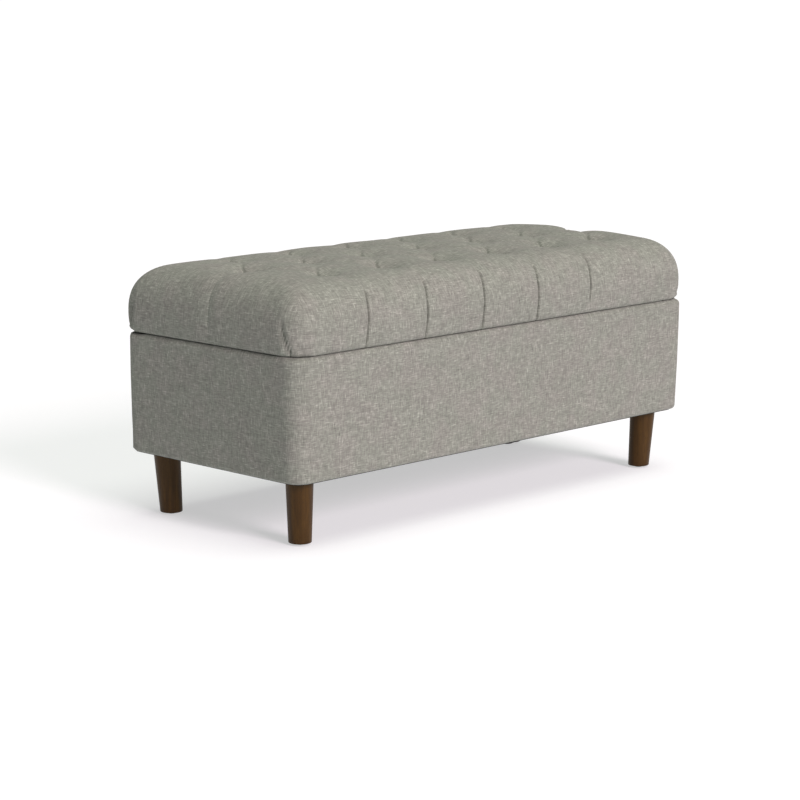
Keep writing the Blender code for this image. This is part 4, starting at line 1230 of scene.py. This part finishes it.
def number_setting(name, description, default):
    """Plain number setting."""
    return bpy.props.FloatProperty(name=name, description=description, default=default, precision=4)


def color_setting(name, description, default):
    """Linear colour setting."""
    return bpy.props.FloatVectorProperty(name=name, description=description, default=default, size=3,
                                         subtype="COLOR", min=0.0, max=2.0)


def angle_setting(name, description, default):
    """Setting in radians."""
    return bpy.props.FloatProperty(name=name, description=description, default=default, subtype="ANGLE")


def direction_setting(name, description, default):
    """Direction setting."""
    return bpy.props.FloatVectorProperty(name=name, description=description, default=default, size=3,
                                         subtype="DIRECTION")


class BenchLid(bpy.types.PropertyGroup):
    """Shape of the tufted lid cushion."""
    tuft_pitch: length_setting("Tuft pitch", "Distance between tufts in a row", 0.142)
    tuft_shift: length_setting("Tuft shift", "How far the tufting sits off centre", 0.016)
    row_pitch: length_setting("Row pitch", "Distance between rows of tufts", 0.110)
    tuft_depth: length_setting("Tuft depth", "How far a tuft draws the seat down", 0.021)
    dimple_radius: length_setting("Dimple radius", "Reach of a tuft's soft hollow", 0.034)
    dimple_core: length_setting("Dimple core", "Reach of a tuft's sharp middle", 0.007)
    valley_depth: length_setting("Valley depth", "Depth of the valleys between tufts", 0.0075)
    valley_width: length_setting("Valley width", "Half width of the valleys between tufts", 0.017)
    crease_length: length_setting("Crease length", "Length of the creases at a tuft", 0.034)
    crease_bow: length_setting("Crease bow", "How far a crease curves", 0.0035)
    crease_depth: length_setting("Crease depth", "Depth of the creases at a tuft", 0.0088)
    crease_width: length_setting("Crease width", "Half width of the creases", 0.0024)
    crease_seed: bpy.props.IntProperty(name="Crease seed", description="Variation of the creases", default=4)
    crown: length_setting("Crown", "How far the middle of the seat stands above its edge", 0.0142)
    crown_power: number_setting("Crown power", "How flat the crown runs along the seat", 14.0)
    puff: length_setting("Puff", "Height lost again to the tufting", -0.0065)
    shoulder_reach: length_setting("Shoulder reach", "Depth of the rounded shoulder", 0.0755)
    shoulder_power: number_setting("Shoulder power", "Fullness of the shoulder's curve", 2.45)
    corner_radius: length_setting("Corner radius", "Radius of the cushion's corners in plan", 0.045)
    side_top: length_setting("Side top", "Height where the side is fullest", 0.3585)
    draw_in: length_setting("Draw in", "How far the side draws in above its roll", 0.0015)
    roll_radius: length_setting("Roll radius", "Radius of the bottom roll", 0.0094)
    pleat_depth: length_setting("Pleat depth", "Depth of the pleats' slits", 0.0085)
    pleat_width: length_setting("Pleat width", "Half width of the pleats' slits", 0.0014)
    pleat_hollow: length_setting("Pleat hollow", "Depth of the soft hollow along a pleat", 0.0032)
    pleat_spread: length_setting("Pleat spread", "Half width of the soft hollow along a pleat", 0.016)
    pleat_lean: length_setting("Pleat lean", "How far the top of a pleat leans along the seat", 0.009)
    pleat_drift: length_setting("Pleat drift", "How far a pleat's foot strays along the seam", 0.006)
    pleat_strengths: bpy.props.FloatVectorProperty(
        name="Pleat strengths", description="Firmness of each front pleat from the left", size=6,
        default=(1.0, 1.0, 1.0, 1.0, 0.8, 0.12))
    pleat_lengths: bpy.props.FloatVectorProperty(
        name="Pleat lengths", description="Distance from each front tuft to its pleat's foot", size=6,
        default=(0.30, 0.276, 0.27, 0.27, 0.185, 0.13), unit="LENGTH")
    end_pleat_depth: length_setting("End pleat depth", "Depth of the pleats on the ends", 0.003)
    end_pleat_drift: length_setting("End pleat drift", "How far an end pleat wanders", 0.010)
    corner_fold_depth: length_setting("Corner fold depth", "Depth of the corner folds", 0.0065)
    unevenness: length_setting("Unevenness", "Gentle unevenness of the padding", 0.0006)
    grid_coarse: length_setting("Grid coarse", "Widest spacing of the cushion's mesh", 0.0074)
    grid_fine: length_setting("Grid fine", "Closest spacing of the cushion's mesh", 0.00141)


class BenchBody(bpy.types.PropertyGroup):
    """Shape of the padded box."""
    roll_radius: length_setting("Roll radius", "Radius of the rim and the bottom edge", 0.0070)
    taper: length_setting("Taper", "How far the box draws in towards its bottom edge", 0.005)
    corner_radius: length_setting("Corner radius", "Radius of the box's upright corners", 0.034)
    unevenness: length_setting("Unevenness", "Gentle unevenness of the padding", 0.0006)
    back_inset: length_setting("Back inset", "How much thinner the padding is on the back", 0.003)
    back_ease: length_setting("Back corner ease", "Ease of the back corners, which draw in by 0.41 of it",
                              0.0080)
    rim_rise: length_setting("Rim rise", "How far the padding stands up along the rim", 0.0029)
    rim_place: length_setting("Rim place", "Distance in from the side of the rim's highest line", 0.0062)
    rim_shift: length_setting("Rim shift", "Corner radius of the lid less that of the box", 0.011)
    rim_width: length_setting("Rim width", "Half width of the raised rim", 0.0032)
    cloth_sag: length_setting("Cloth sag", "Sag of the cloth under the box", 0.002)
    tuck_x: length_setting("Tuck place", "Place along the front of the loose tuck", 0.030)
    tuck_drop: length_setting("Tuck drop", "How far the tuck hangs", 0.0055)


class BenchCloth(bpy.types.PropertyGroup):
    """Colours and weave of the cloths."""
    yarn_width: length_setting("Yarn width", "Width of a slub yarn", 0.0013)
    slub_length: length_setting("Slub length", "Length of a slub", 0.011)
    weave_pitch: length_setting("Weave pitch", "Distance between yarns", 0.0011)
    thread_contrast: number_setting("Thread contrast", "Strength of light and dark yarns", 0.62)
    slub_brightness: number_setting("Slub brightness", "How far the thick slubs stand out", 0.42)
    dark_yarn: color_setting("Dark yarn", "Colour of the darkest yarns", (0.111, 0.116, 0.100))
    middle_yarn: color_setting("Middle yarn", "Colour of the middle yarns", (0.207, 0.214, 0.189))
    light_yarn: color_setting("Light yarn", "Colour of the lightest yarns", (0.335, 0.348, 0.306))
    warm_tint: color_setting("Warm tint", "Tint of the warm patches", (1.013, 0.99, 0.993))
    green_tint: color_setting("Green tint", "Tint of the green patches", (0.99, 1.007, 0.983))
    lining: color_setting("Lining", "Colour of the lining", (0.050, 0.050, 0.054))
    dust_cloth: color_setting("Dust cloth", "Colour of the cloth under the box", (0.008, 0.008, 0.008))


class BenchWood(bpy.types.PropertyGroup):
    """Colours of the woods and the legs' edges."""
    leg_edge: length_setting("Leg edge", "Eased edge of the legs", 0.0012)
    dark_wood: color_setting("Dark wood", "Darkest colour of the legs", (0.0238, 0.0108, 0.0012))
    middle_wood: color_setting("Middle wood", "Middle colour of the legs", (0.050, 0.0235, 0.0034))
    light_wood: color_setting("Light wood", "Lightest colour of the legs", (0.086, 0.0440, 0.0075))
    light_board: color_setting("Light board", "Lightest colour of the plywood", (0.58, 0.43, 0.27))
    dark_board: color_setting("Dark board", "Darkest colour of the plywood", (0.38, 0.25, 0.14))
    light_pine: color_setting("Light pine", "Lightest colour of the pine", (0.68, 0.50, 0.29))
    dark_pine: color_setting("Dark pine", "Darkest colour of the pine", (0.48, 0.29, 0.13))


class BenchTrim(bpy.types.PropertyGroup):
    """Colours and sizes of the hardware."""
    screw_radius: length_setting("Screw radius", "Radius of a countersunk screw's head", 0.0019)
    steel: color_setting("Steel", "Lightest colour of the plated steel", (0.66, 0.66, 0.64))
    plastic: color_setting("Plastic", "Colour of the glides", (0.020, 0.018, 0.016))
    rubber: color_setting("Rubber", "Colour of the bumpers", (0.022, 0.022, 0.022))


class BenchStage(bpy.types.PropertyGroup):
    """Floor, lights and camera."""
    floor_size: length_setting("Floor size", "Length of the floor's sides", 160.0)
    floor: color_setting("Floor", "Colour of the floor", (0.50, 0.50, 0.53))
    floor_glow: color_setting("Floor glow", "Light that the floor gives off", (0.50, 0.50, 0.50))
    sky: color_setting("Sky", "Colour of the surroundings", (1.0, 1.0, 1.0))
    sky_strength: number_setting("Sky strength", "Brightness of the surroundings", 0.17)
    key: color_setting("Key", "Colour of the key light", (1.0, 0.854, 0.897))
    key_strength: number_setting("Key strength", "Brightness of the key light", 3.10)
    key_toward: direction_setting("Key direction", "Direction in which the key light shines",
                                  (0.111, 0.900, -0.423))
    key_angle: angle_setting("Key spread", "Apparent size of the key light", 0.35)
    top: color_setting("Top", "Colour of the overhead light", (0.954, 1.0, 0.874))
    top_strength: number_setting("Top strength", "Brightness of the overhead light", 1.935)
    top_toward: direction_setting("Top direction", "Direction in which the overhead light shines",
                                  (-0.10, 0.14, -0.985))
    top_angle: angle_setting("Top spread", "Apparent size of the overhead light", 0.9)
    lens: bpy.props.FloatProperty(name="Lens", description="Focal length", default=113.3, unit="CAMERA")
    camera_azimuth: angle_setting("Camera azimuth", "Turn of the camera round the bench",
                                  math.radians(-45.35))
    camera_elevation: angle_setting("Camera elevation", "Tilt of the camera above the level",
                                    math.radians(10.38))
    camera_place: bpy.props.FloatVectorProperty(
        name="Camera place", description="Where the camera stands", size=3,
        default=(-3.251, -3.173, 0.998), subtype="TRANSLATION")


# Operators ---------------------------------------------------------------------------------------

class BENCH_OT_finishes(bpy.types.Operator):
    """Make the materials and give the CAD nodes theirs"""
    bl_idname = "bench.finishes"
    bl_label = "Materials"

    def execute(self, context):
        make_finishes(context.scene)
        finish_cad_nodes()
        return {"FINISHED"}


class BENCH_OT_lid(bpy.types.Operator):
    """Make the tufted cover and its foam"""
    bl_idname = "bench.lid"
    bl_label = "Lid cushion"

    def execute(self, context):
        make_lid_cover(context.scene.bench_lid)
        make_lid_foam(context.scene.bench_lid)
        return {"FINISHED"}


class BENCH_OT_lid_liner(bpy.types.Operator):
    """Make the cloth under the lid board"""
    bl_idname = "bench.lid_liner"
    bl_label = "Lid liner"

    def execute(self, context):
        make_lid_liner()
        return {"FINISHED"}


class BENCH_OT_body_cover(bpy.types.Operator):
    """Make the padded cover of the box"""
    bl_idname = "bench.body_cover"
    bl_label = "Box cover"

    def execute(self, context):
        make_body_cover(context.scene.bench_body)
        return {"FINISHED"}


class BENCH_OT_lining(bpy.types.Operator):
    """Make the cloth tray of the storage space"""
    bl_idname = "bench.lining"
    bl_label = "Storage lining"

    def execute(self, context):
        make_storage_lining()
        return {"FINISHED"}


class BENCH_OT_dust_cloth(bpy.types.Operator):
    """Make the black cloth under the box"""
    bl_idname = "bench.dust_cloth"
    bl_label = "Dust cloth"

    def execute(self, context):
        make_dust_cloth(context.scene.bench_body)
        return {"FINISHED"}


class BENCH_OT_legs(bpy.types.Operator):
    """Make the four turned legs and their glides"""
    bl_idname = "bench.legs"
    bl_label = "Legs"

    def execute(self, context):
        for end, side in CORNERS:
            make_leg(end, side, context.scene.bench_wood)
            make_glide(end, side)
        return {"FINISHED"}


class BENCH_OT_screws(bpy.types.Operator):
    """Make the screws of the hinges and the stays"""
    bl_idname = "bench.screws"
    bl_label = "Screws"

    def execute(self, context):
        make_screws(context.scene.bench_trim)
        return {"FINISHED"}


class BENCH_OT_stage(bpy.types.Operator):
    """Make the floor, the lights and the camera"""
    bl_idname = "bench.stage"
    bl_label = "Stage"

    def execute(self, context):
        stage = context.scene.bench_stage
        make_floor(stage)
        make_world(stage)
        make_light("key_light", stage.key, stage.key_strength, stage.key_toward, stage.key_angle)
        make_light("top_light", stage.top, stage.top_strength, stage.top_toward, stage.top_angle)
        make_camera(stage)
        context.scene.view_settings.view_transform = "Standard"
        return {"FINISHED"}


class BENCH_PT_panel(bpy.types.Panel):
    """Sidebar panel that lists the bench's operators"""
    bl_idname = "BENCH_PT_panel"
    bl_label = "Storage Bench"
    bl_space_type = "VIEW_3D"
    bl_region_type = "UI"
    bl_category = "Bench"

    def draw(self, context):
        for operator in OPERATORS:
            self.layout.operator(operator.bl_idname)


GROUPS = {
    "bench_lid": BenchLid,
    "bench_body": BenchBody,
    "bench_cloth": BenchCloth,
    "bench_wood": BenchWood,
    "bench_trim": BenchTrim,
    "bench_stage": BenchStage,
}
OPERATORS = (
    BENCH_OT_finishes,
    BENCH_OT_lid,
    BENCH_OT_lid_liner,
    BENCH_OT_body_cover,
    BENCH_OT_lining,
    BENCH_OT_dust_cloth,
    BENCH_OT_legs,
    BENCH_OT_screws,
    BENCH_OT_stage,
)


def register():
    """Register the settings, the operators and the panel."""
    for name, group in GROUPS.items():
        bpy.utils.register_class(group)
        setattr(bpy.types.Scene, name, bpy.props.PointerProperty(type=group))
    for operator in OPERATORS:
        bpy.utils.register_class(operator)
    bpy.utils.register_class(BENCH_PT_panel)


def unregister():
    """Take everything that register added away again."""
    bpy.utils.unregister_class(BENCH_PT_panel)
    for operator in reversed(OPERATORS):
        bpy.utils.unregister_class(operator)
    for name, group in reversed(GROUPS.items()):
        delattr(bpy.types.Scene, name)
        bpy.utils.unregister_class(group)


def clear_start_objects():
    """Remove objects that are neither the frame's nor made here, such as the start-up cube."""
    for obj in list(bpy.context.scene.objects):
        if "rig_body" not in obj and obj not in frame["bodies"].values():
            bpy.data.objects.remove(obj)


def main():
    """Register the add-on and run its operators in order."""
    register()
    clear_start_objects()
    bpy.ops.bench.finishes()
    bpy.ops.bench.lid()
    bpy.ops.bench.lid_liner()
    bpy.ops.bench.body_cover()
    bpy.ops.bench.lining()
    bpy.ops.bench.dust_cloth()
    bpy.ops.bench.legs()
    bpy.ops.bench.screws()
    bpy.ops.bench.stage()


if __name__ == "__main__":
    main()
